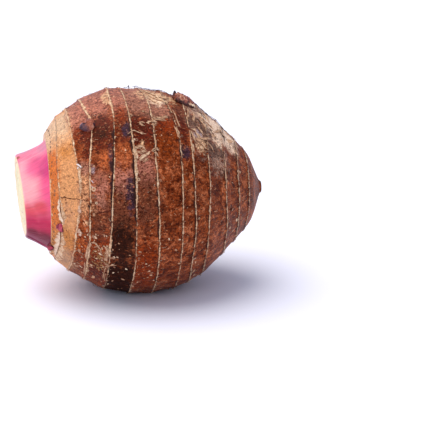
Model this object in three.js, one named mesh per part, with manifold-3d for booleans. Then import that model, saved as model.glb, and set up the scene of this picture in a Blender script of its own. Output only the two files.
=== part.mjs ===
// A taro corm, sold as a yam, lying on its side with the cut leaf stalks at its crown.
// Millimetres, +Z up. The corm's axis runs along X, with the crown and the stalk stub towards -X and the
// root end towards +X. The origin is the middle of the footprint box, on the surface that the corm rests on.
import * as THREE from "three";
import { mergeVertices } from "three/addons/utils/BufferGeometryUtils.js";
import Module from "manifold-3d";

const wasm = await Module();
wasm.setup();

// Driving dimensions
const cormLength = 126;
const restHeight = -56.2; // height of the resting plane below the corm's axis
const restBlend = 0.8; // how softly the flat runs out into the belly
const gap = 0.3; // clearance between separate pieces that touch
const around = 64; // facets round the corm
const rowSpacing = 8; // longest facet along a band of skin
const scarHeight = 0.45; // how far a leaf scar stands out of the skin
const scarHalfWidth = 0.9;
const scarFade = 40; // radius below which a leaf scar gets lower

// Half outlines of the corm, [along the axis from the crown, radius]. The back is fuller towards the crown
// than the belly, and the sides lie halfway between them.
const backOutline = [
  [0, 32.6],
  [1.6, 39.6],
  [7.5, 46.6],
  [21.5, 55.4],
  [31, 60.4],
  [43, 61.4],
  [56, 60.4],
  [70, 58],
  [84, 52.4],
  [94, 45.3],
  [104, 34.8],
  [113, 26],
  [119.5, 18.6],
  [123.8, 11],
  [cormLength, 0],
];
const bellyOutline = [
  [0, 31.2],
  [3, 36.7],
  [12, 44.3],
  [21.5, 50.3],
  [31, 55.7],
  [43, 58.2],
  [56, 58.9],
  [70, 56.8],
  [84, 51.5],
  [94, 44.6],
  [104, 34.4],
  [113, 26],
  [119.5, 18.6],
  [123.8, 11],
  [cormLength, 0],
];
const backTurn = -16; // degrees from the top to the line where the back outline holds
// Leaf scars from the crown to the root end: where each ring's plane crosses the axis, and how far it leans,
// in degrees. A positive lean carries the top of a ring towards the crown.
const leafScars = [
  { along: 1.5, lean: -0.5 },
  { along: 5.2, lean: -2.5 },
  { along: 13.4, lean: -2.7 },
  { along: 20.4, lean: -3.4 },
  { along: 32, lean: -5 },
  { along: 44.7, lean: 0 },
  { along: 57, lean: 1 },
  { along: 70.6, lean: 1 },
  { along: 77, lean: -1.5 },
  { along: 88, lean: 2 },
  { along: 99, lean: 1 },
  { along: 110, lean: 0 },
];
// Slow swellings that keep the cross-section from being a true circle, as a share of the radius.
const swellings = [
  { lobes: 3, share: 0.0067, turn: 2.1 },
  { lobes: 5, share: 0.0042, turn: 4.0 },
];
// The stub of the leaf stalks: its cut is turned a little from square, and it rises towards the cut.
const stalk = {
  length: 15.4,
  cutRadius: 23.4,
  baseRadius: 31.2,
  rim: 0.8, // the bevel that the knife leaves round the cut
  cutLean: 3.7,
  cutTurn: -3.5,
  rise: 0.8,
  facets: 48,
};

// A half outline as a dense row of points, so that a radius can be read off anywhere along it.
function sampled(outline) {
  const points = outline.map(([along, radius]) => new THREE.Vector2(along, radius));
  return new THREE.SplineCurve(points).getPoints(400);
}

const back = sampled(backOutline);
const belly = sampled(bellyOutline);

function readOff(points, along) {
  const next = points.findIndex((point) => point.x >= along);
  if (next < 1) return next ? 0 : points[0].y;
  const [before, after] = [points[next - 1], points[next]];
  return THREE.MathUtils.mapLinear(along, before.x, after.x, before.y, after.y);
}

// Radius of the corm without its leaf scars. The angle is 0 at the top and turns towards -Y.
function radiusAt(along, angle) {
  const fullness = 0.5 + 0.5 * Math.cos(angle - THREE.MathUtils.degToRad(backTurn));
  const plain = THREE.MathUtils.lerp(readOff(belly, along), readOff(back, along), fullness);
  return plain * swellings.reduce((sum, s) => sum + s.share * Math.cos(s.lobes * angle + s.turn), 1);
}

// Rows of the skin from crown to root end. Each leaf scar has a row on its crest and one at either foot.
function skinRows() {
  const rows = [{ along: 0, lean: 0, rise: 0 }];
  let last = { along: -scarHalfWidth, lean: 0 };
  for (const mark of [...leafScars, { along: cormLength + scarHalfWidth, lean: 0 }]) {
    const from = last.along + scarHalfWidth;
    const to = mark.along - scarHalfWidth;
    const steps = Math.max(1, Math.round((to - from) / rowSpacing));
    for (let step = last.along < 0 ? 1 : 0; step <= steps; step++) {
      const share = step / steps;
      const along = THREE.MathUtils.lerp(from, to, share);
      rows.push({ along, lean: THREE.MathUtils.lerp(last.lean, mark.lean, share), rise: 0 });
    }
    if (mark.along < cormLength) rows.push({ ...mark, rise: scarHeight });
    last = mark;
  }
  return rows;
}

// A point of the skin on a row, at an angle from the top.
function skinPoint({ along, lean, rise }, angle) {
  const slope = Math.tan(THREE.MathUtils.degToRad(lean));
  const shift = radiusAt(along, angle) * Math.cos(angle) * slope;
  const plain = radiusAt(along - shift, angle);
  const radius = plain + rise * Math.min(1, plain / scarFade);
  return new THREE.Vector3(along - shift, -radius * Math.sin(angle), pressed(radius * Math.cos(angle)));
}

// Height above the axis, with whatever would be under the resting plane pressed flat onto it.
function pressed(height) {
  const above = height - restHeight;
  if (above > restBlend) return height;
  if (above < -restBlend) return restHeight;
  return restHeight + (above + restBlend) ** 2 / (4 * restBlend);
}

// Turns a lathe made round +Y so that its axis lies along +X.
function layDown(geometry) {
  return geometry.rotateZ(-Math.PI / 2);
}

// Keeps only the positions and joins the doubled vertices of a seam or a pole.
function welded(geometry) {
  geometry.deleteAttribute("normal");
  geometry.deleteAttribute("uv");
  return mergeVertices(geometry, 1e-3);
}

function cormShape() {
  const rows = skinRows();
  const lathePoints = rows.map((row) => new THREE.Vector2(readOff(back, row.along), row.along));
  lathePoints.unshift(new THREE.Vector2(0, 0)); // the middle of the crown
  const shape = layDown(new THREE.LatheGeometry(lathePoints, around));
  const position = shape.getAttribute("position");
  for (let index = 0; index < position.count; index++) {
    const row = rows[(index % lathePoints.length) - 1];
    if (!row) continue;
    const angle = Math.atan2(-position.getY(index), position.getZ(index));
    const moved = skinPoint(row, angle);
    position.setXYZ(index, moved.x, moved.y, moved.z);
  }
  return welded(shape);
}

// The same shape with every face moved outwards: each vertex goes just far enough to carry all its faces.
function grown(geometry, by) {
  const bigger = geometry.clone();
  const position = bigger.getAttribute("position");
  const order = bigger.index.array;
  const facings = Array.from({ length: position.count }, () => []);
  for (let face = 0; face < order.length; face += 3) {
    const corners = [...order.slice(face, face + 3)];
    const points = corners.map((corner) => new THREE.Vector3().fromBufferAttribute(position, corner));
    const outwards = new THREE.Triangle(...points).getNormal(new THREE.Vector3());
    for (const corner of corners) facings[corner].push(outwards);
  }
  const rounds = 20;
  facings.forEach((facing, index) => {
    const move = new THREE.Vector3();
    for (let round = 0; round < rounds; round++) {
      for (const outwards of facing) {
        const missing = by - move.dot(outwards);
        if (missing > 0) move.addScaledVector(outwards, missing);
      }
    }
    const point = new THREE.Vector3().fromBufferAttribute(position, index).add(move);
    position.setXYZ(index, point.x, point.y, point.z);
  });
  return bigger;
}

function toSolid(geometry) {
  const mesh = new wasm.Mesh({
    numProp: 3,
    vertProperties: geometry.getAttribute("position").array,
    triVerts: new Uint32Array(geometry.index.array),
  });
  return new wasm.Manifold(mesh);
}

function toGeometry(solid) {
  const mesh = solid.getMesh();
  const geometry = new THREE.BufferGeometry();
  geometry.setAttribute("position", new THREE.BufferAttribute(mesh.vertProperties, mesh.numProp));
  geometry.setIndex(new THREE.BufferAttribute(mesh.triVerts, 1));
  return geometry;
}

// The stub of the leaf stalks, from its slanting cut to the crown that it grows from.
function stalkShape() {
  const { length, cutRadius, baseRadius, rim, rise, facets } = stalk;
  const lean = Math.tan(THREE.MathUtils.degToRad(stalk.cutLean));
  const turn = Math.tan(THREE.MathUtils.degToRad(stalk.cutTurn));
  const side = new THREE.QuadraticBezierCurve(
    new THREE.Vector2(cutRadius, -length),
    new THREE.Vector2(cutRadius + 0.42 * (baseRadius - cutRadius), -0.45 * length),
    new THREE.Vector2(baseRadius, -gap),
  );
  const points = [
    new THREE.Vector2(0, -length),
    new THREE.Vector2(cutRadius * 0.5, -length),
    new THREE.Vector2(cutRadius - rim, -length),
    ...side.getPoints(7).map((point, index) => (index ? point : point.setY(point.y + rim / 2))),
    new THREE.Vector2(0, -gap),
  ];
  const shape = layDown(new THREE.LatheGeometry(points, facets));
  const position = shape.getAttribute("position");
  for (let index = 0; index < position.count; index++) {
    const share = (-gap - position.getX(index)) / (length - gap);
    const slant = position.getZ(index) * lean - position.getY(index) * turn;
    position.setX(index, position.getX(index) - share * slant);
    position.setZ(index, position.getZ(index) + share * rise);
  }
  return welded(shape);
}

// A pointed dome with its foot sunk below z = 0, as a dormant bud has.
function budShape({ radius, height, sink }) {
  const dome = [];
  const steps = 6;
  for (let step = 0; step <= steps; step++) {
    const turn = (step / steps) * (Math.PI / 2);
    dome.push(new THREE.Vector2(radius * Math.cos(turn) ** 0.8, height * Math.sin(turn) ** 1.2));
  }
  dome.at(-1).setX(0);
  const foot = [new THREE.Vector2(0, -sink), new THREE.Vector2(radius * 0.85, -sink)];
  return new THREE.LatheGeometry([...foot, ...dome], 16).rotateX(Math.PI / 2);
}

// A short broken shoot: a stump with a ragged, dished top.
function stumpShape({ radius, height, sink }) {
  const points = [
    new THREE.Vector2(0, -sink),
    new THREE.Vector2(radius, -sink),
    new THREE.Vector2(radius * 1.06, height * 0.3),
    new THREE.Vector2(radius * 0.92, height * 0.85),
    new THREE.Vector2(radius * 0.62, height),
    new THREE.Vector2(radius * 0.3, height * 0.72),
    new THREE.Vector2(0, height * 0.66),
  ];
  const facets = 20;
  const shape = new THREE.LatheGeometry(points, facets).rotateX(Math.PI / 2);
  const position = shape.getAttribute("position");
  for (let index = 0; index < position.count; index++) {
    const turn = Math.atan2(position.getY(index), position.getX(index));
    const ragged = 1 + 0.1 * Math.cos(3 * turn + 1) + 0.06 * Math.cos(7 * turn);
    position.setX(index, position.getX(index) * ragged);
    const uneven = position.getZ(index) > 0 ? 1 + 0.12 * Math.sin(2 * turn) : 1;
    position.setZ(index, position.getZ(index) * uneven);
  }
  return shape;
}

// A narrow dry scale leaf that stands up beside the stump and curls to a point.
function scaleShape({ width, thickness, height, sink }) {
  const face = new THREE.Shape();
  face.moveTo(-width / 2, -sink);
  face.lineTo(width / 2, -sink);
  face.quadraticCurveTo(width * 0.55, height * 0.45, width * 0.05, height);
  face.quadraticCurveTo(-width * 0.55, height * 0.5, -width / 2, -sink);
  const made = new THREE.ExtrudeGeometry(face, { depth: thickness, bevelEnabled: false, curveSegments: 6 });
  return made.translate(0, 0, -thickness / 2).rotateX(Math.PI / 2);
}

// Stands a shape made along +Z on the skin, squeezed along the corm by stretch and turned to face out.
function placeOnSkin(shape, { along, angle, tip = 0, spin = 0, stretch = 1 }) {
  const turn = THREE.MathUtils.degToRad(angle);
  const foot = skinPoint({ along, lean: 0, rise: 0 }, turn);
  const step = 0.5;
  const slope = (radiusAt(along + step, turn) - radiusAt(along - step, turn)) / (2 * step);
  const outwards = new THREE.Vector3(-slope, -Math.sin(turn), Math.cos(turn)).normalize();
  const frame = new THREE.Matrix4();
  const sideways = new THREE.Vector3(1, 0, 0).cross(outwards).normalize();
  frame.makeBasis(sideways.clone().cross(outwards), sideways, outwards);
  shape.scale(stretch, 1, 1);
  shape.rotateZ(THREE.MathUtils.degToRad(spin));
  shape.rotateY(THREE.MathUtils.degToRad(tip));
  shape.applyMatrix4(frame);
  shape.translate(foot.x, foot.y, foot.z);
  return welded(shape);
}

// What of a shape is left outside its neighbours, with the gap kept.
function trimmed(shape, neighbours) {
  const carve = (solid, other) => solid.subtract(toSolid(grown(other, gap)));
  return toGeometry(neighbours.reduce(carve, toSolid(shape)));
}

const finishes = {
  skin: { color: 0x7a4128, roughness: 0.62, metalness: 0 },
  stalk: { color: 0xe2558c, roughness: 0.4, metalness: 0 },
  freshBud: { color: 0x8e2f45, roughness: 0.45, metalness: 0 },
  dryBud: { color: 0x55313a, roughness: 0.6, metalness: 0 },
  dryShoot: { color: 0x6e352c, roughness: 0.75, metalness: 0 },
};

const yam = new THREE.Group();
function addPiece(name, geometry, finish) {
  const mesh = new THREE.Mesh(geometry, new THREE.MeshStandardMaterial(finishes[finish]));
  mesh.name = name;
  yam.add(mesh);
}

const corm = cormShape();
const stub = stalkShape();
addPiece("corm", corm, "skin");
addPiece("leaf_stalk_stub", stub, "stalk");

// Dormant buds, each in the angle above a leaf scar.
const buds = [
  { name: "upper_bud", along: 21.6, angle: 31, radius: 3.9, height: 3.8, tip: 16, finish: "dryBud" },
  { name: "lower_bud", along: 4.8, angle: 100.3, radius: 2.5, height: 2.2, finish: "freshBud", stretch: 0.8 },
  { name: "collar_bud", along: -0.4, angle: 134.5, radius: 2.4, height: 2.6, tip: 12, finish: "freshBud" },
  { name: "back_crown_bud", along: 13, angle: 232, radius: 2.8, height: 2.4, tip: 10, finish: "dryBud" },
  { name: "back_belly_bud", along: 45.2, angle: 262, radius: 3.1, height: 2.6, tip: 10, finish: "dryBud" },
];
for (const bud of buds) {
  const shape = placeOnSkin(budShape({ ...bud, sink: 3 }), bud);
  addPiece(bud.name, trimmed(shape, [corm, stub]), bud.finish);
}

// The stump of a side shoot on the shoulder of the root end, with one scale leaf left standing beside it.
const shoot = { along: 79.4, angle: 7.5, radius: 4.7, height: 4.2, stretch: 1.2 };
const scaleLeaf = { along: 72.8, angle: 6.5, width: 3.6, thickness: 1.2, height: 5.2, spin: 70 };
const stump = placeOnSkin(stumpShape({ ...shoot, sink: 4 }), shoot);
const scale = placeOnSkin(scaleShape({ ...scaleLeaf, sink: 3 }), scaleLeaf);
addPiece("side_shoot_stump", trimmed(stump, [corm]), "dryShoot");
addPiece("side_shoot_scale", trimmed(scale, [corm, stump]), "dryShoot");

// The footprint box's middle, at the height of the resting plane, becomes the origin.
const box = new THREE.Box3().setFromObject(yam);
const middle = box.getCenter(new THREE.Vector3());
yam.position.set(-middle.x, -middle.y, -box.min.z);

export default yam;
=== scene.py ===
# A taro corm with its cut leaf stalks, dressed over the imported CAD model.
import math

import bpy
import numpy as np
from mathutils import Matrix, Vector, noise
from mathutils.bvhtree import BVHTree


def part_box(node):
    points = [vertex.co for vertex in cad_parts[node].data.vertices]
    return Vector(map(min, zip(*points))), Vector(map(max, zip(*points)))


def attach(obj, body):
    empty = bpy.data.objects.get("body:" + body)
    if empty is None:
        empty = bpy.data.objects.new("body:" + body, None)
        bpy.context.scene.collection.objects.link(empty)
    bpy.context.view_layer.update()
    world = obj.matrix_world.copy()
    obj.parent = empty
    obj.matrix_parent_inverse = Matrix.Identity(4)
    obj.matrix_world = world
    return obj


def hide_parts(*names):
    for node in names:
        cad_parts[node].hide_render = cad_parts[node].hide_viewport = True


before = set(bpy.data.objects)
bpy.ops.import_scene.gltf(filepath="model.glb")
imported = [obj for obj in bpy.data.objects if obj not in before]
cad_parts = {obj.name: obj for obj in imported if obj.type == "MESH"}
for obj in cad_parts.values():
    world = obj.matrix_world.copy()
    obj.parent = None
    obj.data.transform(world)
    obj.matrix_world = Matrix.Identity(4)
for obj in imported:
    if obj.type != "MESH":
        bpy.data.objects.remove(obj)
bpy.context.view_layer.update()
mm = 0.001


def linear(hexText):
    # an sRGB hex colour as linear RGBA
    parts = [int(hexText[i:i + 2], 16) / 255 for i in (1, 3, 5)]
    return [c / 12.92 if c <= 0.04045 else ((c + 0.055) / 1.055) ** 2.4 for c in parts] + [1.0]


def outputOf(source):
    # the socket that a node gives its result by
    if isinstance(source, bpy.types.Node):
        return next(socket for socket in source.outputs if socket.enabled)
    return source


def addNode(tree, kind, inputs=None, stops=None, **settings):
    # adds a node with its properties as settings; an input is a number, a row of numbers, a hex colour,
    # or the node or socket that feeds it, and stops are a ramp's positions and hex colours
    node = tree.nodes.new(kind)
    for name, value in settings.items():
        setattr(node, name, value)
    for name, value in (inputs or {}).items():
        value = outputOf(value)
        if isinstance(value, bpy.types.NodeSocket):
            tree.links.new(value, node.inputs[name])
        elif isinstance(value, str) and value.startswith("#"):
            node.inputs[name].default_value = linear(value)
        else:
            node.inputs[name].default_value = value
    if stops:
        elements = node.color_ramp.elements
        elements.remove(elements[-1])
        elements[0].position = stops[0][0]
        elements[0].color = linear(stops[0][1])
        for position, colour in stops[1:]:
            elements.new(position).color = linear(colour)
    return node


def newMaterial(name):
    # a material with a bare shader, its tree, and the shader itself
    material = bpy.data.materials.new(name)
    material.use_nodes = True
    tree = material.node_tree
    return material, tree, tree.nodes["Principled BSDF"]


# The corm's shape, read from the frame.
cormBox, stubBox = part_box("corm"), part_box("leaf_stalk_stub")
crownX = cormBox[0].x
cormLength = cormBox[1].x - crownX
axisY, axisZ = ((stubBox[0] + stubBox[1]) / 2).yz  # the stub's widest ring is centred on the corm's axis
sampling = dict(first=0.25 * mm, alongStep=1.0 * mm, turnStep=3.0, alongBlur=1.5, turnBlur=1.3)


def blurred(table, sigma, axis, ends):
    # blurs a table along one axis; ends is "wrap" or "edge"
    reach = math.ceil(3 * sigma)
    kernel = np.exp(-0.5 * (np.arange(-reach, reach + 1) / sigma) ** 2)
    kernel /= kernel.sum()
    room = [(0, 0)] * table.ndim
    room[axis] = (reach, reach)
    padded = np.pad(table, room, mode=ends)
    size = table.shape[axis]
    return sum(w * np.take(padded, range(i, i + size), axis) for i, w in enumerate(kernel))


def sampleRadius():
    # the corm's radius on an even grid of distance from the crown and turn from the top, facets blurred away
    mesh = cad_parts["corm"].data
    surface = BVHTree.FromPolygons([v.co for v in mesh.vertices], [p.vertices for p in mesh.polygons])
    alongs = np.arange(sampling["first"], cormLength, sampling["alongStep"])
    turns = np.radians(np.arange(0, 360, sampling["turnStep"]))
    table = np.zeros((len(alongs), len(turns)))
    for i, along in enumerate(alongs):
        start = Vector((crownX + along, axisY, axisZ))
        for j, turn in enumerate(turns):
            table[i, j] = surface.ray_cast(start, Vector((0, -math.sin(turn), math.cos(turn))))[3] or 0
    table = blurred(table, sampling["alongBlur"], 0, "edge")
    return alongs, blurred(table, sampling["turnBlur"], 1, "wrap")


skinAlongs, skinTable = sampleRadius()
print("read the corm's shape from the frame")


def radiusAt(along, turn):
    # the smooth corm's radius; along in metres, turn in radians, arrays of one shape
    last = len(skinAlongs) - 1.001  # just short of the last row, so that there is one after it
    i = np.clip((along - skinAlongs[0]) / sampling["alongStep"], 0, last)
    j = np.mod(np.degrees(turn), 360) / sampling["turnStep"]
    i0, j0 = i.astype(int), j.astype(int)
    fi, fj = i - i0, j - j0
    columns = skinTable.shape[1]
    j0 = j0 % columns
    j1 = (j0 + 1) % columns
    near = skinTable[i0, j0] * (1 - fj) + skinTable[i0, j1] * fj
    far = skinTable[i0 + 1, j0] * (1 - fj) + skinTable[i0 + 1, j1] * fj
    return near * (1 - fi) + far * fi


def meshPiece(name, vertices, faces):
    # a smooth-shaded object at the origin
    mesh = bpy.data.meshes.new(name)
    mesh.from_pydata(vertices, [], faces)
    mesh.polygons.foreach_set("use_smooth", [True] * len(mesh.polygons))
    mesh.update()
    piece = bpy.data.objects.new(name, mesh)
    bpy.context.scene.collection.objects.link(piece)
    return piece


def gridFaces(rows, columns, closed):
    # the quads of a rows x columns grid; closed joins the last column to the first
    faces = []
    for r in range(rows - 1):
        for c in range(columns if closed else columns - 1):
            d = (c + 1) % columns
            faces.append((r * columns + c, r * columns + d, (r + 1) * columns + d, (r + 1) * columns + c))
    return faces


def closedGrid(points, poles):
    # the vertices and faces of a tube of points whose ends are closed by two poles
    rows, columns = points.shape[:2]
    vertices = points.reshape(-1, 3).tolist() + [tuple(pole) for pole in poles]
    faces = gridFaces(rows, columns, True)
    last = (rows - 1) * columns
    for c in range(columns):
        d = (c + 1) % columns
        faces.append((rows * columns, d, c))
        faces.append((rows * columns + 1, last + c, last + d))
    return vertices, faces


def gridNormals(points, closed=True):
    # outward normals of a grid of points
    across = np.roll(points, -1, 1) - np.roll(points, 1, 1) if closed else np.gradient(points, axis=1)
    normal = np.cross(across, np.gradient(points, axis=0))
    return normal / np.maximum(np.linalg.norm(normal, axis=2, keepdims=True), 1e-12)


def noiseField(points, size, seed=0.0):
    # smooth noise in -1..1 at every point, with features about size wide
    flat = points.reshape(-1, 3) / size + seed
    values = np.fromiter((noise.noise(p) for p in flat.tolist()), float, len(flat))
    return values.reshape(points.shape[:-1])


def paint(piece, name, values):
    # a named number, or vector, for each vertex
    values = np.asarray(values, np.float32)
    kind, field = ("FLOAT", "value") if values.ndim == 1 else ("FLOAT_VECTOR", "vector")
    attribute = piece.data.attributes.new(name, kind, "POINT")
    attribute.data.foreach_set(field, values.ravel())


def withPoles(values):
    # a grid's values as one row, with a pole at each end that takes the mean of its row
    flat = values.reshape(values.shape[0] * values.shape[1], *values.shape[2:])
    return np.concatenate([flat, [values[0].mean(0)], [values[-1].mean(0)]])


def oval(along, degrees, mmAlong, degreesTurn, mmLong, degreesWide, strength):
    # a soft oval: strength in its middle, half of that on its edge; along in mm
    across = (degrees - degreesTurn + 180) % 360 - 180
    return strength * np.exp(-0.7 * (((along - mmAlong) / mmLong) ** 2 + (across / degreesWide) ** 2))


# Stains on the far side: how long in mm and wide in degrees, how size and strength vary, and where they lie.
farStain = dict(long=6, wide=14, size=(0.7, 1.3), strength=(0.8, 1.2), along=(16, 110), turn=(180, 335))


def stainMasks(stains, along, degrees, seed):
    # a mask over a grid for each stain, from its ovals and, on the far side, a few more of about one size
    rng = np.random.default_rng(seed)
    masks = {}
    for name, stain in stains.items():
        mask = np.zeros(along.shape)
        for place in stain["ovals"]:
            mask = np.maximum(mask, oval(along, degrees, *place))
        for _ in range(stain.get("far", 0)):
            size = rng.uniform(*farStain["size"])
            spread = (farStain["long"] * size, farStain["wide"] * size, rng.uniform(*farStain["strength"]))
            place = (rng.uniform(*farStain["along"]), rng.uniform(*farStain["turn"]))
            mask = np.maximum(mask, oval(along, degrees, *place, *spread))
        masks[name] = mask
    return masks


def layStains(tree, colour, stains, raggedSpan):
    # lays stains over a colour, painted sheen and shade among them on the husk, each with its own soft and
    # ragged edge
    for name, stain in stains.items():
        mask = addNode(tree, "ShaderNodeAttribute", attribute_name=name).outputs["Fac"]
        tearing = addNode(tree, "ShaderNodeMath", {
            0: raggedSpan, 1: stain["ragged"] * 10, 2: 1.0}, operation="MULTIPLY_ADD")
        torn = addNode(tree, "ShaderNodeMath", {0: tearing, 1: mask}, operation="MULTIPLY")
        cover = addNode(tree, "ShaderNodeMapRange", {
            "Value": torn, "From Min": 0.5 - stain["soft"], "From Max": 0.5 + stain["soft"],
            "To Max": stain["cover"]}, interpolation_type="SMOOTHSTEP")
        colour = addNode(tree, "ShaderNodeMix", {0: cover, 6: colour, 7: stain["colour"]}, data_type="RGBA")
    return colour


# The leaf scars that ring the corm.
# Where each ring runs, as {degrees from the top, turning to the front: mm from the crown}.
ringPaths = [
    {0: 0.0},
    {344: 7.0, 20: 6.2, 50: 4.6, 75: 4.9, 98: 5.8, 120: 4.6, 145: 3.0, 190: 3.4, 250: 5.0, 300: 6.4},
    {350: 12.3, 23: 12.8, 40: 13.7, 56: 14.8, 78: 16.2, 90: 14.2, 102: 12.6, 125: 11.6, 155: 9.8, 200: 10.4,
     250: 13.0, 310: 13.2},
    {353: 20.3, 6: 20.9, 16: 21.5, 22: 22.6, 28: 24.2, 33: 24.5, 39: 23.5, 46: 22.6, 54: 21.3, 78: 20.6,
     104: 19.9, 118: 19.1, 158: 18.4, 200: 18.8, 250: 20.5, 310: 20.6},
    {356: 36.4, 15: 35.9, 30: 36.5, 63: 33.8, 76: 32.3, 101: 30.8, 153: 29.4, 200: 30.5, 250: 33.0,
     310: 35.5},
    {350: 43.2, 5: 43.7, 15: 43.9, 26: 44.4, 41: 44.8, 55: 45.0, 66: 45.1, 79: 44.7, 122: 44.4, 140: 43.5,
     200: 43.8, 262: 45.5, 310: 43.8},
    {2: 55.0, 12: 56.5, 24: 57.0, 33: 57.5, 44: 57.3, 58: 56.7, 120: 57.5, 180: 56.5, 240: 57.5, 300: 55.5,
     350: 54.0},
    {350: 66.5, 10: 67.0, 19: 67.8, 31: 70.0, 43: 71.5, 55: 71.2, 90: 70.5, 180: 70.0, 270: 70.0},
    {21: 77.6, 38: 78.1, 55: 78.0, 120: 77.5, 200: 78.5, 290: 79.0},
    {0: 87.0, 60: 88.0, 130: 85.5, 210: 87.0, 290: 90.0},
    {0: 99.5, 80: 97.5, 160: 99.5, 270: 98.0},
    {0: 109.0, 90: 106.0, 200: 108.5, 290: 107.0},
    {0: 114.5, 130: 113.0, 250: 116.0},
    {0: 126.0},
]
# What each ring shows, as {degrees: (mm of pale edge on its root side, on its crown side, mm of dark shade)}.
ringEdges = [
    {0: (0.28, 0.19, 0), 60: (0.19, 0.19, 0), 130: (0.22, 0.19, 0), 240: (0.25, 0.19, 0)},
    {350: (0.06, 0.06, 0.3), 30: (0.09, 0.06, 0.35), 74: (0.09, 0.06, 0.35), 82: (0.56, 0.06, 0.4),
     92: (2.2, 0.12, 0.5), 98: (0.31, 0.19, 1), 104: (0.5, 0.12, 0.8), 112: (2.4, 0.12, 0.2),
     145: (2.2, 0.12, 0.2), 165: (0.31, 0.12, 0.4), 230: (0.25, 0.06, 0.3), 280: (1.6, 0.12, 0.3),
     310: (0.19, 0.06, 0.3)},
    {350: (0.31, 0.31, 0), 30: (0.34, 0.25, 0), 52: (0.22, 0.19, 0.2), 60: (1.1, 0.19, 0.3),
     76: (0.19, 0.19, 0.3), 86: (0.19, 1.1, 0), 96: (0.5, 0.19, 0), 120: (0.28, 0.19, 0),
     180: (0.25, 0.19, 0.3), 250: (0.43, 0.19, 0), 300: (0.25, 0.19, 0.2)},
    {350: (0.37, 0.31, 0.2), 10: (0.6, 0.4, 0.3), 26: (0.7, 0.5, 0.3), 38: (0.43, 0.31, 0.3),
     50: (0.31, 0.43, 0.5), 60: (0.25, 0.31, 0.4), 75: (0.31, 0.19, 0.5), 82: (0.22, 0.19, 0.9),
     104: (0.31, 0.19, 0.2), 116: (0.56, 0.37, 0), 140: (0.31, 0.25, 0.2), 200: (0.25, 0.19, 0.6),
     250: (0.5, 0.25, 0.3), 300: (0.31, 0.25, 0.3)},
    {350: (0.4, 0.31, 0), 12: (0.35, 0.7, 0), 26: (0.19, 0.5, 0.2), 34: (0.19, 0.19, 0.3),
     42: (0.09, 0.06, 1.2), 50: (0.22, 0.12, 1.5), 66: (0.31, 0.19, 1.7), 84: (0.22, 0.25, 0.9),
     97: (0.22, 0.12, 0.5), 106: (0.37, 1.2, 0), 118: (0.03, 0.3, 0.2), 150: (0.05, 0.06, 0.6),
     210: (0.31, 0.25, 1.2), 270: (0.56, 0.19, 0.4), 310: (0.25, 0.31, 0.8)},
    {350: (0.37, 0.25, 0.2), 12: (0.4, 0.19, 0.2), 26: (0.34, 0.19, 0.3), 38: (0.31, 0.25, 1.2),
     46: (0.5, 0.25, 1.2), 54: (1.7, 0.25, 1.2), 66: (1.3, 0.25, 1.3), 78: (0.43, 0.19, 1.4),
     90: (0.15, 0.12, 0.9), 104: (0.19, 0.19, 0.5), 125: (0.37, 0.25, 0.6), 180: (0.25, 0.19, 0.9),
     240: (1, 0.25, 1), 300: (0.31, 0.19, 0.9)},
    {0: (0.43, 0.25, 0.5), 30: (0.4, 0.28, 0.7), 58: (0.43, 0.25, 0.6), 90: (0.31, 0.25, 1),
     130: (0.25, 0.25, 0.5), 200: (0.5, 0.25, 0.9), 250: (0.25, 0.19, 0.4), 300: (0.56, 0.31, 0.9)},
    {10: (0.12, 0.12, 0.5), 34: (0.19, 0.15, 0.6), 46: (0.25, 0.15, 0.8), 80: (0.31, 0.25, 0.6),
     150: (0.19, 0.19, 0.4), 210: (0.37, 0.19, 0.8), 290: (0.25, 0.19, 0.4)},
    {10: (0.06, 0.06, 0.4), 30: (0.31, 0.19, 0.5), 44: (0.37, 0.25, 0.5), 80: (0.31, 0.19, 0.8),
     160: (0.43, 0.19, 0.5), 240: (0.25, 0.19, 0.5), 320: (0.31, 0.19, 0.5)},
    {350: (0.08, 0.06, 0.2), 40: (0.08, 0.06, 0.2), 70: (0.31, 0.19, 0.6), 170: (0.25, 0.12, 0.4),
     260: (0.37, 0.19, 0.6)},
    {350: (0.05, 0.04, 0.1), 44: (0.08, 0.06, 0.2), 70: (0.25, 0.19, 0.6), 110: (0.31, 0.19, 0.5),
     230: (0.19, 0.19, 0.6)},
    {0: (0.19, 0.19, 0.6), 160: (0.31, 0.19, 0.6)},
    {0: (0.12, 0.12, 0.4), 100: (0.22, 0.15, 0.5), 220: (0.12, 0.12, 0.7)},
    {0: (0.19, 0.19, 0.3)},
]
# The skin's grid, how much the ring paths and edges are rounded in degrees, how far a ring wanders off its
# path in mm, from which ring on it bows as well, and how far the two ends are closed.
skin = dict(
    columns=570, rowStep=1.12 * mm, edgeRows=(0.3, 0.7, 1.3), pathBlur=5.0, edgeBlur=2.0, wander=0.22,
    bow=1.1, bowFrom=8, crownPole=0.2 * mm, lastRow=0.4 * mm, rootPole=0.6 * mm, softFloor=0.5 * mm)


def roundTheCorm(knots, blur):
    # values at every degree from a few knots, rounded where they meet
    fine = np.arange(0, 360, 1.0)
    knots = sorted(knots.items())
    values = np.interp(fine, [k for k, _ in knots], [v for _, v in knots], period=360)
    return blurred(values, blur, 0, "wrap")


def atDegrees(values, degrees):
    # what a ring's rounded values are at any degrees
    return np.interp(degrees, np.arange(0, 360, 1.0), values, period=360)


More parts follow.
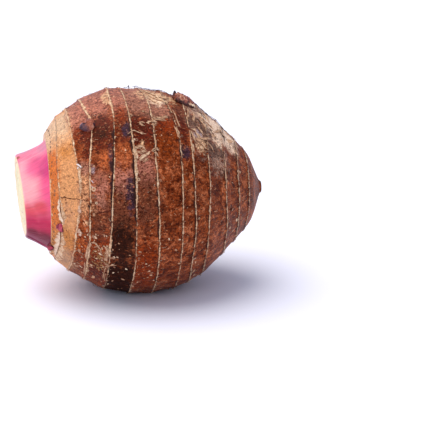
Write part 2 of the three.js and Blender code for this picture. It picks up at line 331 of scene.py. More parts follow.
def bandRows():
    # the rows of the skin, as (band, share of the band): close together at the rings, even between them
    rows = [(0, 0.0)]
    for band in range(len(ringPaths) - 1):
        near, far = (atDegrees(roundTheCorm(path, skin["pathBlur"]), 90.0) * mm
                     for path in ringPaths[band:band + 2])
        line = np.linspace(near, far, 60)  # fine enough to measure the arc between two rings
        radii = radiusAt(line, np.full_like(line, math.pi / 2))
        arc = np.hypot(np.diff(line), np.diff(radii)).sum()
        edges = [e * mm / (far - near) for e in skin["edgeRows"]]
        middle = np.linspace(edges[-1], 1 - edges[-1], max(2, round(arc / skin["rowStep"]) - 3))
        shares = edges[:-1] + list(middle) + [1 - e for e in reversed(edges[:-1])] + [1.0]
        rows += [(band, float(share)) for share in shares]
    return rows


rows = bandRows()
turns = np.linspace(0, 2 * math.pi, skin["columns"], endpoint=False)
degrees = np.degrees(turns)
circle = np.stack([np.cos(turns), np.sin(turns), np.zeros_like(turns)], 1)  # noise on it closes on itself
ringLines = []
for i, path in enumerate(ringPaths):
    line = atDegrees(roundTheCorm(path, skin["pathBlur"]), degrees)
    if 0 < i < len(ringPaths) - 1:
        line = line + skin["wander"] * (noiseField(circle, 0.12, i) + 0.6 * noiseField(circle, 0.04, i))
        line = line + (skin["bow"] * noiseField(circle, 0.6, i) if i >= skin["bowFrom"] else 0)
    ringLines.append(line * mm)
ringLines = np.array(ringLines)
bandOf = np.array([r[0] for r in rows])
shareOf = np.array([r[1] for r in rows])
share = np.broadcast_to(shareOf[:, None], (len(rows), skin["columns"]))
along = ringLines[bandOf] * (1 - share) + ringLines[bandOf + 1] * share
along = np.minimum(along, cormLength - skin["lastRow"])
turn = np.broadcast_to(turns, along.shape)
turnDegrees = np.degrees(turn)
radius = radiusAt(along, turn)
plain = np.stack([crownX + along, axisY - radius * np.sin(turn), axisZ + radius * np.cos(turn)], 2)
bandMm = (ringLines[bandOf + 1] - ringLines[bandOf]) / mm
fromRing = share * bandMm  # mm from the ring on the crown side
toRing = (1 - share) * bandMm  # mm to the ring on the root side
band = bandOf[:, None] + share
print("laid out the skin:", along.shape)

# Stains laid over the russet husk in this order, some of which also paint sheen and shade, as noted at each.
# Each has its colour, how soft and how ragged its edge is, how much it covers, its ovals as (mm from the
# crown, degrees, mm long, degrees wide, strength), and how many more of them lie on the far side.
huskStainsAndPaintedLight = {
    "crownTan": dict(colour="#D19464", soft=0.25, ragged=0.04, cover=1.0, ovals=[]),
    "crownCream": dict(colour="#CFAE90", soft=0.4, ragged=0.2, cover=0.95, ovals=[
        (1, 4, 4, 24, 1.2), (8, 14, 7, 18, 1.0), (10, 300, 5, 30, 0.8)]),
    "orange": dict(colour="#C6692E", soft=0.3, ragged=0.2, cover=0.92, ovals=[
        (1.8, 54, 3.2, 16, 1.3), (2.2, 90, 3, 20, 1.2), (3, 200, 3, 40, 1.1), (15.6, 112, 3, 9, 0.9)]),
    "ochre": dict(colour="#BE7A40", soft=0.35, ragged=0.35, cover=0.85, ovals=[
        (9, 43, 4, 6, 0.9), (9, 112, 4, 10, 1.1), (2.2, 118, 2.5, 12, 1.1), (9, 232, 4, 20, 0.9)]),
    "dun": dict(colour="#AC8264", soft=0.35, ragged=0.35, cover=0.85, ovals=[
        (7, 136, 6, 14, 1.1), (12.5, 16, 2.5, 10, 0.6), (9, 262, 5, 16, 0.8)]),
    "roseTan": dict(colour="#C08A68", soft=0.35, ragged=0.35, cover=0.85, ovals=[
        (17.6, 70, 3, 8, 1.3), (17.2, 82, 3, 7, 1.2), (22.5, 84, 2, 5, 0.7), (9, 88, 4, 12, 0.6)]),
    # rosy tone, partly painted sheen: its ovals along the top and at 63 to 71 degrees stand for reflected
    # light
    "rosy": dict(colour="#A0665A", soft=0.35, ragged=0.35, cover=0.92, ovals=[
        (18, 12, 5, 24, 1.2), (26, 8, 9, 22, 1.3), (39, 8, 5, 18, 1.3), (26.3, 71, 5, 12, 0.75),
        (38.5, 66, 5, 10, 1.3), (50.5, 63, 5, 9, 1.3), (52, 345, 10, 30, 0.9),
        (30, 320, 12, 30, 0.9)], far=5),
    # greyish mauve tone, partly painted sheen: its ovals along the top stand for light reflected from above
    "mauve": dict(colour="#936457", soft=0.35, ragged=0.3, cover=0.85, ovals=[
        (50, 14, 7, 14, 1.3), (62, 24, 6, 9, 1.2), (57, 25, 6, 8, 1.0), (18.2, 58, 2.2, 5, 1.1),
        (26, 80, 4, 7, 0.7)], far=4),
    "burnt": dict(colour="#6C2A06", soft=0.3, ragged=0.45, cover=0.9, ovals=[
        (63.5, 45, 7, 10, 1.3), (15.8, 40, 2.6, 8, 1.2)], far=3),
    "amber": dict(colour="#9A4E2C", soft=0.3, ragged=0.45, cover=0.9, ovals=[
        (39, 54, 4.5, 9, 1.2), (18.7, 48, 2.4, 6, 1.0), (29.5, 55, 4, 7, 1.0), (17, 100, 4, 10, 1.1),
        (19.2, 36, 1.6, 5, 1.2), (77, 41, 1.2, 6, 1.2)], far=8),
    # rust-brown stain; its low oval at 28 mm and 138 degrees also paints shade on the underside
    "rust": dict(colour="#742806", soft=0.3, ragged=0.4, cover=0.9, ovals=[
        (17, 34, 2.2, 7, 1.1), (64, 36, 6, 4.5, 1.2), (15, 120, 5, 22, 0.7), (25, 112, 7, 20, 1.0),
        (28, 138, 9, 15, 1.1), (50, 122, 8, 20, 1.0), (40, 30, 3, 8, 0.9)], far=7),
    "maroon": dict(colour="#4C1208", soft=0.3, ragged=0.4, cover=0.92, ovals=[
        (19.4, 49, 1.6, 5, 1.2), (27, 38, 8, 10, 1.5), (24, 128, 6, 14, 0.9), (33, 36, 3, 7, 1.1),
        (40.5, 44, 3, 5, 0.8), (50, 41, 7, 9, 1.3), (34, 45, 4, 6, 0.8), (75, 34, 3, 12, 1.1)], far=8),
    "peat": dict(colour="#2A0C06", soft=0.35, ragged=0.35, cover=0.85, ovals=[
        (28, 39, 5, 5.5, 0.68)], far=2),
    "bark": dict(colour="#623426", soft=0.35, ragged=0.4, cover=0.9, ovals=[
        (36, 87, 7, 12, 1.2), (25, 94, 5, 9, 0.9), (50, 80, 8, 14, 1.0), (26, 66, 3, 5, 0.5),
        (76, 20, 4, 10, 1.1)], far=5),
    "slate": dict(colour="#2A2034", soft=0.3, ragged=0.4, cover=0.88, ovals=[
        (42.4, 40, 2.3, 4.5, 1.3), (41.8, 76, 2.2, 9, 1.1), (32.6, 57, 1.3, 9, 0.9), (32, 70, 1.1, 7, 0.7),
        (74, 53, 2.6, 4, 1.3)], far=9),
    # near-black umber stain, partly painted shade: its lower ovals darken the underside of the corm
    "umber": dict(colour="#1F0A08", soft=0.36, ragged=0.35, cover=0.95, ovals=[
        (36.5, 105, 9, 14, 1.0), (37, 132, 10, 15, 1.5), (39, 152, 10, 18, 1.3)], far=6),
    "ashGrey": dict(colour="#A08478", soft=0.3, ragged=0.5, cover=0.85, ovals=[
        (85, 16, 5, 10, 1.3), (91, 6, 6, 8, 1.1), (86, 36, 7, 16, 1.0), (94, 52, 6, 12, 0.9)], far=4),
    "smoke": dict(colour="#5A4038", soft=0.25, ragged=0.5, cover=0.85, ovals=[
        (81, 29, 3.5, 5, 1.2), (87, 35, 4, 5, 1.2), (88.5, 48, 5, 6, 1.2), (94, 47, 4, 6, 1.0),
        (88, 26, 2, 3, 0.8)], far=3),
    "lavender": dict(colour="#A394A0", soft=0.3, ragged=0.3, cover=0.8, ovals=[
        (83, 39, 2, 3.2, 1.2), (22.4, 60, 1.2, 3, 0.9)]),
    "peach": dict(colour="#EFD2BA", soft=0.25, ragged=0.3, cover=0.94, ovals=[
        (62, 11, 6, 9, 0.95), (99, 20, 8, 12, 1.6), (92.5, 21, 5, 7, 1.2), (88, 18, 2.4, 4, 0.9),
        (96, 36, 4, 7, 0.8), (104, 32, 5, 10, 0.8)]),
    "paleHusk": dict(colour="#C8A284", soft=0.2, ragged=0.6, cover=0.8, ovals=[
        (60, 6, 7, 8, 1.2), (34, 11, 2.2, 7, 1.1), (70, 9, 4, 7, 0.8), (106, 0, 4, 12, 0.7),
        (29, 112, 1.8, 4, 0.8), (35.4, 8, 1.4, 6, 0.9), (50, 50, 1.4, 3, 0.8), (84, 47, 3, 6, 0.8),
        (28, 114, 1.6, 5, 0.6), (17.5, 92, 2, 3, 0.7)], far=4),
}
# Places where the husk has cracked into a net, laid out as the ovals are.
nets = [(25, 119, 5, 10, 0.8), (33, 250, 5, 12, 0.9)]
# Cracks along the corm: (from mm, degrees, to mm, degrees).
cracks = [(5.4, 76, 19.6, 79), (24, 86, 31, 84), (60, 214, 69, 218), (36, 268, 43, 266), (14, 292, 19, 290)]
huskMasks = stainMasks(huskStainsAndPaintedLight, along / mm, turnDegrees, 11)
# the tan of the crown ends at the second ring
huskMasks["crownTan"] = np.where(band <= 2.0, 1.0, 0.0)
# the near-black stain, with the painted shade under the corm, stays between the two rings where the sheath
# that left the stain sat
huskMasks["umber"] = np.where((band >= 4) & (band <= 5), huskMasks["umber"], 0.0)
huskMasks["netted"] = np.max([oval(along / mm, turnDegrees, *net) for net in nets], 0)
# the signed distance from the nearest crack, across it, in mm; 9 is far from them all
fromCrack = np.full(along.shape, 9.0)
for start, turnStart, end, turnEnd in cracks:
    line = turnStart + (turnEnd - turnStart) * (along / mm - start) / (end - start)
    beyond = np.maximum(np.maximum(start * mm - along, along - end * mm), 0) / mm
    across = np.radians((turnDegrees - line + 180) % 360 - 180) * radius / mm
    across += np.where(across < 0, -2, 2) * beyond
    fromCrack = np.where(abs(across) < abs(fromCrack), across, fromCrack)
huskMasks["fromCrack"] = fromCrack

# The skin's relief in mm. Swell to fibres are (high, across, seed). A ring stands up with a groove before it,
# and the skin sags between two rings that are far apart.
skinRelief = dict(
    swell=(0.45, 26, 3.1), lumps=(0.22, 9, 7.7), grit=(0.10, 3.0, 1.3), fineGrit=(0.05, 1.4, 5.2),
    fibres=(0.12, 1.6, 2.2), fibreStretch=5.0, sag=0.3, ringHigh=0.34, ringWide=0.5, grooveDeep=0.16,
    grooveFrom=1.2, grooveWide=0.6)
fibreRadius = 60 * mm  # about the corm's widest radius, so that the fibres have their real width there


def bumps(points, high, across, seed):
    # bumps high and across in mm, as mm off the surface
    return high * noiseField(points, across * mm, seed)


lumps = bumps(plain, *skinRelief["swell"]) + bumps(plain, *skinRelief["lumps"])
grit = bumps(plain, *skinRelief["grit"]) + bumps(plain, *skinRelief["fineGrit"])
fibreFlow = np.stack([along, fibreRadius * np.sin(turn), fibreRadius * np.cos(turn)], 2)
fibreSpace = fibreFlow / [skinRelief["fibreStretch"], 1, 1]
fibres = bumps(fibreSpace, *skinRelief["fibres"])
sag = -skinRelief["sag"] * np.sin(np.pi * share) ** 2 * np.clip(bandMm / 10, 0.2, 1)
closeness = sum(np.exp(-(away / skinRelief["ringWide"]) ** 2) for away in (fromRing, toRing))
groove = np.exp(-((toRing - skinRelief["grooveFrom"]) / skinRelief["grooveWide"]) ** 2)
ringed = (band > 0.02) & (band < len(ringPaths) - 1.1)
ridge = skinRelief["ringHigh"] * closeness - skinRelief["grooveDeep"] * groove
relief = lumps + grit + fibres + sag + np.where(ringed, ridge, 0)
skinPoints = plain + gridNormals(plain) * relief[:, :, None] * mm
# the lowest points are eased onto the floor, never through it
softFloor = skin["softFloor"]
height = skinPoints[:, :, 2]
settled = np.maximum(height + softFloor, 0) ** 2 / (4 * softFloor)
skinPoints[:, :, 2] = np.where(height > softFloor, height, settled)
skinNormals = gridNormals(skinPoints)
crownPole = (crownX + skin["crownPole"], axisY, axisZ)
rootPole = (crownX + cormLength - skin["rootPole"], axisY, axisZ)
cormSkin = meshPiece("corm_skin", *closedGrid(skinPoints, (crownPole, rootPole)))


def onSkin(mmAlong, degreesTurn):
    # a place on the finished skin: its point, its way out, and the way towards the root end along it
    column = degreesTurn / 360 * skin["columns"]
    ends = []
    for c in (math.floor(column), math.floor(column) + 1):
        c %= skin["columns"]
        row = np.interp(mmAlong * mm, along[:, c], np.arange(len(along)))
        r = min(int(row), len(along) - 2)
        share = row - r
        ends.append([field[r, c] * (1 - share) + field[r + 1, c] * share
                     for field in (skinPoints, skinNormals)])
    share = column - math.floor(column)
    point, out = (Vector(ends[0][k] * (1 - share) + ends[1][k] * share) for k in (0, 1))
    out.normalize()
    ahead = Vector((1, 0, 0)) - out * out.x
    return point, out, ahead.normalized()


def edgeWidths(column, row):
    # how wide one part of each ring's edge is, at every column, for the rings that the rows lie against
    table = [roundTheCorm({k: v[column] for k, v in edge.items()}, skin["edgeBlur"]) for edge in ringEdges]
    patchy = np.array([1 + 0.9 * noiseField(circle, 0.09, 3 * i + column) for i in range(len(table))])
    return (np.array([atDegrees(values, degrees) for values in table]) * np.maximum(patchy, 0.15))[row]


paint(cormSkin, "band", withPoles(band))
paint(cormSkin, "bandMm", withPoles(bandMm))
paint(cormSkin, "edgeRoot", withPoles(edgeWidths(0, np.where(shareOf == 1.0, bandOf + 1, bandOf))))
paint(cormSkin, "edgeCrown", withPoles(edgeWidths(1, bandOf + 1)))
paint(cormSkin, "edgeShade", withPoles(edgeWidths(2, bandOf + 1)))
paint(cormSkin, "fibre", withPoles(fibreFlow))
for name, mask in huskMasks.items():
    paint(cormSkin, name, withPoles(mask))
print("shaped the skin:", len(cormSkin.data.polygons), "faces")

# The husk's patterns: widths in mm, how many times as long strands and flecks are, what share the dust, the
# strands and the grain have in the fine light and dark, what these do to the colour, how much less they do
# where the husk is smooth, and the colours that aren't stains.
husk = dict(
    strand=0.8, strandStretch=6, grain=1.7, dust=0.7, blotch=5.5, tear=2.4, fleck=1.1, fleckStretch=1.4,
    pitCell=2.3, netCell=2, netSwirl=1.6, bump=0.8, dustShare=0.3, strandShare=0.18, grainShare=0.52,
    darkGrain=(0.27, 0.13, 0.1, 1), lightGrain=(2.05, 2.05, 1.75, 1), smoothing=0.6,
    ground=[(0.34, "#4A1809"), (0.5, "#763417"), (0.66, "#A0593A")], fleckAndGlintColour="#D8976A",
    pitColour="#54260F", netColour="#AC7E4C", crackColour="#4A150C", shadeColour="#281516",
    edgeTones=[(0.38, "#A06C4C"), (0.5, "#DAAE86"), (0.6, "#F0D8B6")], sheen="#E8A880")


def makeHusk():
    # Corky taro husk: dry papery sheath skin over cork, russet and mottled, with pale torn scar rings.
    # To the eye it is half matt with a silky sheen, finely grained along the corm and stained in patches,
    # some of which paint sheen on its top and shade under it.
    material, tree, shader = newMaterial("corkyHusk")
    place = addNode(tree, "ShaderNodeTexCoord").outputs["Object"]
    fibrePlace = addNode(tree, "ShaderNodeAttribute", attribute_name="fibre").outputs["Vector"]
    crown = addNode(tree, "ShaderNodeAttribute", attribute_name="crownTan").outputs["Fac"]
    strandPlace = addNode(tree, "ShaderNodeMapping", {
        "Vector": fibrePlace, "Scale": (1 / husk["strandStretch"], 1, 1)})
    strands = addNode(tree, "ShaderNodeTexNoise", {
        "Vector": strandPlace, "Scale": 1 / (husk["strand"] * mm), "Detail": 3, "Roughness": 0.6,
        "Distortion": 0.4})
    grain = addNode(tree, "ShaderNodeTexNoise", {
        "Vector": place, "Scale": 1 / (husk["grain"] * mm), "Detail": 3, "Roughness": 0.6, "Distortion": 1.2})
    dust = addNode(tree, "ShaderNodeTexNoise", {
        "Vector": place, "Scale": 1 / (husk["dust"] * mm), "Detail": 2, "Roughness": 0.6, "Distortion": 0.6})
    blotch = addNode(tree, "ShaderNodeTexNoise", {
        "Vector": place, "Scale": 1 / (husk["blotch"] * mm), "Detail": 4, "Roughness": 0.6,
        "Distortion": 0.8})
    ragged = addNode(tree, "ShaderNodeTexNoise", {
        "Vector": place, "Scale": 1 / (husk["tear"] * mm), "Detail": 4, "Roughness": 0.65, "Distortion": 0.6})
    raggedSpan = addNode(tree, "ShaderNodeMath", {0: ragged, 1: 0.5}, operation="SUBTRACT")
    colour = addNode(tree, "ShaderNodeValToRGB", {"Fac": blotch}, husk["ground"])
    colour = layStains(tree, colour, huskStainsAndPaintedLight, raggedSpan)
    # fine light and dark grain: the dark grain is redder, the light grain yellower, and the crown is smoother
    fine = addNode(tree, "ShaderNodeMath", {0: dust, 1: husk["dustShare"]}, operation="MULTIPLY")
    fine = addNode(tree, "ShaderNodeMath", {
        0: strands, 1: husk["strandShare"], 2: fine}, operation="MULTIPLY_ADD")
    grained = addNode(tree, "ShaderNodeMath", {
        0: grain, 1: husk["grainShare"], 2: fine}, operation="MULTIPLY_ADD")
    lit = addNode(tree, "ShaderNodeMapRange", {"Value": grained, "From Min": 0.41, "From Max": 0.6})
    tone = addNode(tree, "ShaderNodeMix", {
        0: lit, 6: husk["darkGrain"], 7: husk["lightGrain"]}, data_type="RGBA")
    toned = addNode(tree, "ShaderNodeMix", {
        0: 1.0, 6: colour, 7: tone}, data_type="RGBA", blend_type="MULTIPLY")
    smoothed = addNode(tree, "ShaderNodeAttribute", attribute_name="peach").outputs["Fac"]
    smoothed = addNode(tree, "ShaderNodeMath", {0: smoothed, 1: crown}, operation="MAXIMUM", use_clamp=True)
    calm = addNode(tree, "ShaderNodeMath", {
        0: smoothed, 1: -husk["smoothing"], 2: 1.0}, operation="MULTIPLY_ADD")
    colour = addNode(tree, "ShaderNodeMix", {0: calm, 6: colour, 7: toned}, data_type="RGBA")
    # curled flecks of papery skin that have lifted, painted pale so that they also stand for glints of light
    fleckPlace = addNode(tree, "ShaderNodeMapping", {
        "Vector": fibrePlace, "Scale": (1 / husk["fleckStretch"], 1, 1)})
    flecks = addNode(tree, "ShaderNodeTexNoise", {
        "Vector": fleckPlace, "Scale": 1 / (husk["fleck"] * mm), "Detail": 2, "Roughness": 0.6,
        "Distortion": 0.3})
    fleck = addNode(tree, "ShaderNodeMapRange", {
        "Value": flecks, "From Min": 0.62, "From Max": 0.69, "To Max": 0.55}, interpolation_type="SMOOTHSTEP")
    # the flecks leave the near-black stain and its painted underside shade bare
    dark = addNode(tree, "ShaderNodeAttribute", attribute_name="umber").outputs["Fac"]
    bare = addNode(tree, "ShaderNodeMath", {
        0: dark, 1: -1.2, 2: calm}, operation="MULTIPLY_ADD", use_clamp=True)
    fleck = addNode(tree, "ShaderNodeMath", {0: fleck, 1: bare}, operation="MULTIPLY")
    colour = addNode(tree, "ShaderNodeMix", {0: fleck, 6: colour, 7: husk["fleckAndGlintColour"]}, data_type="RGBA")
    # small dark pits, 0.9 mm wide, in some four of ten cells of a mosaic
    cells = addNode(tree, "ShaderNodeTexVoronoi", {"Vector": place, "Scale": 1 / (husk["pitCell"] * mm)})
    draw = addNode(tree, "ShaderNodeSeparateColor", {0: cells.outputs["Color"]})
    chosen = addNode(tree, "ShaderNodeMapRange", {"Value": draw, "From Min": 0.5, "From Max": 0.62})
    pit = addNode(tree, "ShaderNodeMapRange", {
        "Value": cells, "From Min": 0.15, "From Max": 0.25, "To Min": 0.8, "To Max": 0.0})
    pit = addNode(tree, "ShaderNodeMath", {0: pit, 1: chosen}, operation="MULTIPLY")
    colour = addNode(tree, "ShaderNodeMix", {0: pit, 6: colour, 7: husk["pitColour"]}, data_type="RGBA")
    # a net of pale cracks, broken here and there
    swirl = addNode(tree, "ShaderNodeTexNoise", {
        "Vector": place, "Scale": 1 / (husk["netCell"] * mm), "Detail": 2})
    push = addNode(tree, "ShaderNodeVectorMath", {
        0: swirl.outputs["Color"], "Scale": husk["netSwirl"] * mm}, operation="SCALE")
    netPlace = addNode(tree, "ShaderNodeVectorMath", {0: place, 1: push}, operation="ADD")
    mesh = addNode(tree, "ShaderNodeTexVoronoi", {
        "Vector": netPlace, "Scale": 1 / (husk["netCell"] * mm)}, feature="DISTANCE_TO_EDGE")
    netted = addNode(tree, "ShaderNodeAttribute", attribute_name="netted").outputs["Fac"]
    wide = addNode(tree, "ShaderNodeMath", {0: netted, 1: 0.07}, operation="MULTIPLY")
    wide = addNode(tree, "ShaderNodeMath", {0: raggedSpan, 1: 0.9, 2: wide}, operation="MULTIPLY_ADD")
    inside = addNode(tree, "ShaderNodeMath", {0: wide, 1: mesh}, operation="SUBTRACT")
    line = addNode(tree, "ShaderNodeMapRange", {"Value": inside, "From Min": -0.02, "From Max": 0.03})
    within = addNode(tree, "ShaderNodeMapRange", {"Value": netted, "From Min": 0.35, "From Max": 0.5})
    net = addNode(tree, "ShaderNodeMath", {0: line, 1: within}, operation="MULTIPLY")
    colour = addNode(tree, "ShaderNodeMix", {0: net, 6: colour, 7: husk["netColour"]}, data_type="RGBA")
    # dark cracks about 0.5 mm wide
    crack = addNode(tree, "ShaderNodeAttribute", attribute_name="fromCrack").outputs["Fac"]
    wander = addNode(tree, "ShaderNodeMath", {0: raggedSpan, 1: 3.0, 2: crack}, operation="MULTIPLY_ADD")
    away = addNode(tree, "ShaderNodeMath", {0: wander}, operation="ABSOLUTE")
    cracked = addNode(tree, "ShaderNodeMapRange", {
        "Value": away, "From Min": 0.16, "From Max": 0.4, "To Min": 0.9, "To Max": 0.0})
    colour = addNode(tree, "ShaderNodeMix", {0: cracked, 6: colour, 7: husk["crackColour"]}, data_type="RGBA")
    # distances to the two nearest rings, in mm
    bandPlace = addNode(tree, "ShaderNodeAttribute", attribute_name="band").outputs["Fac"]
    bandWide = addNode(tree, "ShaderNodeAttribute", attribute_name="bandMm").outputs["Fac"]
    part = addNode(tree, "ShaderNodeMath", {0: bandPlace}, operation="FRACT")
    rest = addNode(tree, "ShaderNodeMath", {0: 1.0, 1: part}, operation="SUBTRACT")
    below = addNode(tree, "ShaderNodeMath", {0: part, 1: bandWide}, operation="MULTIPLY")
    above = addNode(tree, "ShaderNodeMath", {0: rest, 1: bandWide}, operation="MULTIPLY")
    # the dark shade before each ring, then its pale torn edge: how soft each is, and how deeply it is torn
    edgeParts = (
        ("edgeShade", above, 0.6, 3.5), ("edgeRoot", below, 0.14, 2.6), ("edgeCrown", above, 0.14, 1.6))
    covers = []
    for name, distance, soft, tear in edgeParts:
        width = addNode(tree, "ShaderNodeAttribute", attribute_name=name).outputs["Fac"]
        torn = addNode(tree, "ShaderNodeMath", {0: raggedSpan, 1: tear, 2: width}, operation="MULTIPLY_ADD")
        inside = addNode(tree, "ShaderNodeMath", {0: torn, 1: distance}, operation="SUBTRACT")
        covers.append(addNode(tree, "ShaderNodeMapRange", {
            "Value": inside, "From Min": -soft, "From Max": soft}, interpolation_type="SMOOTHSTEP"))
    colour = addNode(tree, "ShaderNodeMix", {
        0: covers[0], 6: colour, 7: husk["shadeColour"]}, data_type="RGBA")
    edge = addNode(tree, "ShaderNodeMath", {0: covers[1], 1: covers[2]}, operation="MAXIMUM")
    edgeTone = addNode(tree, "ShaderNodeValToRGB", {"Fac": grained}, husk["edgeTones"])
    colour = addNode(tree, "ShaderNodeMix", {0: edge, 6: colour, 7: edgeTone}, data_type="RGBA")
    tree.links.new(outputOf(colour), shader.inputs["Base Color"])
    # the ring edges, flecks and net stand up, and the pits and cracks lie deep
    raised = addNode(tree, "ShaderNodeMath", {0: fleck, 1: net}, operation="MAXIMUM")
    sunk = addNode(tree, "ShaderNodeMath", {0: pit, 1: cracked}, operation="MAXIMUM")
    height = addNode(tree, "ShaderNodeMath", {0: edge, 1: 0.3, 2: grained}, operation="MULTIPLY_ADD")
    height = addNode(tree, "ShaderNodeMath", {0: raised, 1: 0.25, 2: height}, operation="MULTIPLY_ADD")
    height = addNode(tree, "ShaderNodeMath", {0: sunk, 1: -0.3, 2: height}, operation="MULTIPLY_ADD")
    bump = addNode(tree, "ShaderNodeBump", {
        "Height": height, "Strength": 0.9, "Distance": husk["bump"] * mm})
    tree.links.new(outputOf(bump), shader.inputs["Normal"])
    gloss = addNode(tree, "ShaderNodeMapRange", {
        "Value": grained, "From Min": 0.38, "From Max": 0.62, "To Min": 0.34, "To Max": 0.55})
    dulled = addNode(tree, "ShaderNodeMath", {0: dark, 1: 0.3, 2: gloss}, operation="MULTIPLY_ADD")
    tree.links.new(outputOf(dulled), shader.inputs["Roughness"])
    shader.inputs["Specular IOR Level"].default_value = 0.17
    shader.inputs["Specular Tint"].default_value = linear(husk["sheen"])
    return material


cormSkin.data.materials.append(makeHusk())
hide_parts("corm")
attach(cormSkin, "root")

# The stub of the leaf stalks: its outline, its cut, the grid it is made of, and its relief, which is
# (mm high, mm across, seed) for each kind of bump.
stub = dict(
    length=15.4 * mm, cutRadius=23.4 * mm, baseRadius=31.2 * mm, sink=1.2 * mm, waist=0.42, shoulder=0.45,
    cutLean=3.7, cutTurn=-3.5, rise=0.8 * mm, rim=0.7 * mm, rimShare=0.05, rimDrop=0.45, flare=3.2 * mm,
    flareTurn=0.15, columns=320, sideRows=34, faceRows=8, sheaths=5, heart=0.35, offCentre=0.5,
    firstOffCentre=0.7, firstHeading=100, nextHeading=137, edgeLean=6, edgeWide=1.5, edgeFade=60, fan=0.22,
    strandRadius=28 * mm, strandLong=4 * mm, strands=(0.10, 1.1, 4.0), ribs=(0.22, 5, 9.0),
    lumps=(0.12, 6, 2.0), sheathHigh=0.28, sheathGap=0.25, waver=(0.22, 9, 12.0),
    fleshGrain=(0.2, 2.2, 1.0), fleshSwell=(0.25, 8, 6.0))
# Sheath edges that end on the stub's side: degrees, and how far the sheath over them stands out.
sheathEdges = [(152, 0.6), (18, 0.35), (262, 0.7)]
stalkStains = {
    "palePink": dict(colour="#FDB4B6", soft=0.5, ragged=0.04, cover=0.8, ovals=[
        (14, 46, 4, 22, 1.0), (13, 64, 6, 22, 1.25), (13, 200, 5, 30, 0.8), (12, 300, 5, 30, 0.9)]),
    "hotPink": dict(colour="#EE5488", soft=0.5, ragged=0.08, cover=0.8, ovals=[
        (1, 66, 4.4, 32, 1.1), (3, 190, 5, 40, 0.9), (3, 290, 5, 40, 1.0), (8, 40, 5, 12, 1.0)]),
    "rose": dict(colour="#C23E74", soft=0.5, ragged=0.08, cover=0.85, ovals=[
        (2, 42, 4.2, 12, 1.25), (6, 30, 4, 9, 0.8), (3, 330, 4, 16, 0.8)]),
    "lilac": dict(colour="#C88098", soft=0.5, ragged=0.06, cover=0.85, ovals=[
        (2, 8, 4, 12, 1.2), (10, 352, 7, 12, 1.1)]),
    "coral": dict(colour="#E25058", soft=0.5, ragged=0.15, cover=0.85, ovals=[
        (7, 90, 4, 8, 1.2), (12, 96, 5, 10, 1.0), (8, 222, 4, 14, 0.9)]),
    "crimson": dict(colour="#C62852", soft=0.5, ragged=0.06, cover=0.95, ovals=[
        (4, 114, 6, 15, 1.3), (11, 116, 6, 14, 1.2), (4, 250, 5, 18, 0.7)]),
    "wine": dict(colour="#6A0424", soft=0.5, ragged=0.1, cover=0.94, ovals=[
        (4, 136, 6, 14, 1.4), (11, 132, 5, 10, 1.1), (12, 170, 9, 40, 0.8)]),
    "plum": dict(colour="#780C3C", soft=0.5, ragged=0.14, cover=0.88, ovals=[
        (12, 152, 7, 14, 1.2), (8, 168, 9, 16, 1.2), (2, 140, 3, 8, 0.9)]),
    "bruise": dict(colour="#8E4A34", soft=0.3, ragged=0.2, cover=0.9, ovals=[
        (14.8, 8, 1.0, 4.0, 1.2)]),
}


def stubPlace(share, turn, across=1.0):
    # a point of the stub: share runs from the crown to the cut, across from its middle to its side
    t = 1 - share
    bend = stub["cutRadius"] + stub["waist"] * (stub["baseRadius"] - stub["cutRadius"])
    radius = (1 - t) ** 2 * stub["cutRadius"] + 2 * t * (1 - t) * bend + t ** 2 * stub["baseRadius"]
    radius = radius + stub["flare"] * t ** 7 * np.maximum(np.cos(turn - stub["flareTurn"]), 0) ** 2
    y = -radius * across * np.sin(turn)
    z = radius * across * np.cos(turn)
    slant = z * math.tan(math.radians(stub["cutLean"])) - y * math.tan(math.radians(stub["cutTurn"]))
    shoulder = 2 * t * (1 - t) * stub["shoulder"] * stub["length"]
    reach = (1 - t) ** 2 * stub["length"] + shoulder - t ** 2 * stub["sink"]
    x = -reach - share * slant
    return np.stack(np.broadcast_arrays(crownX + x, axisY + y, axisZ + z + share * stub["rise"]), -1)


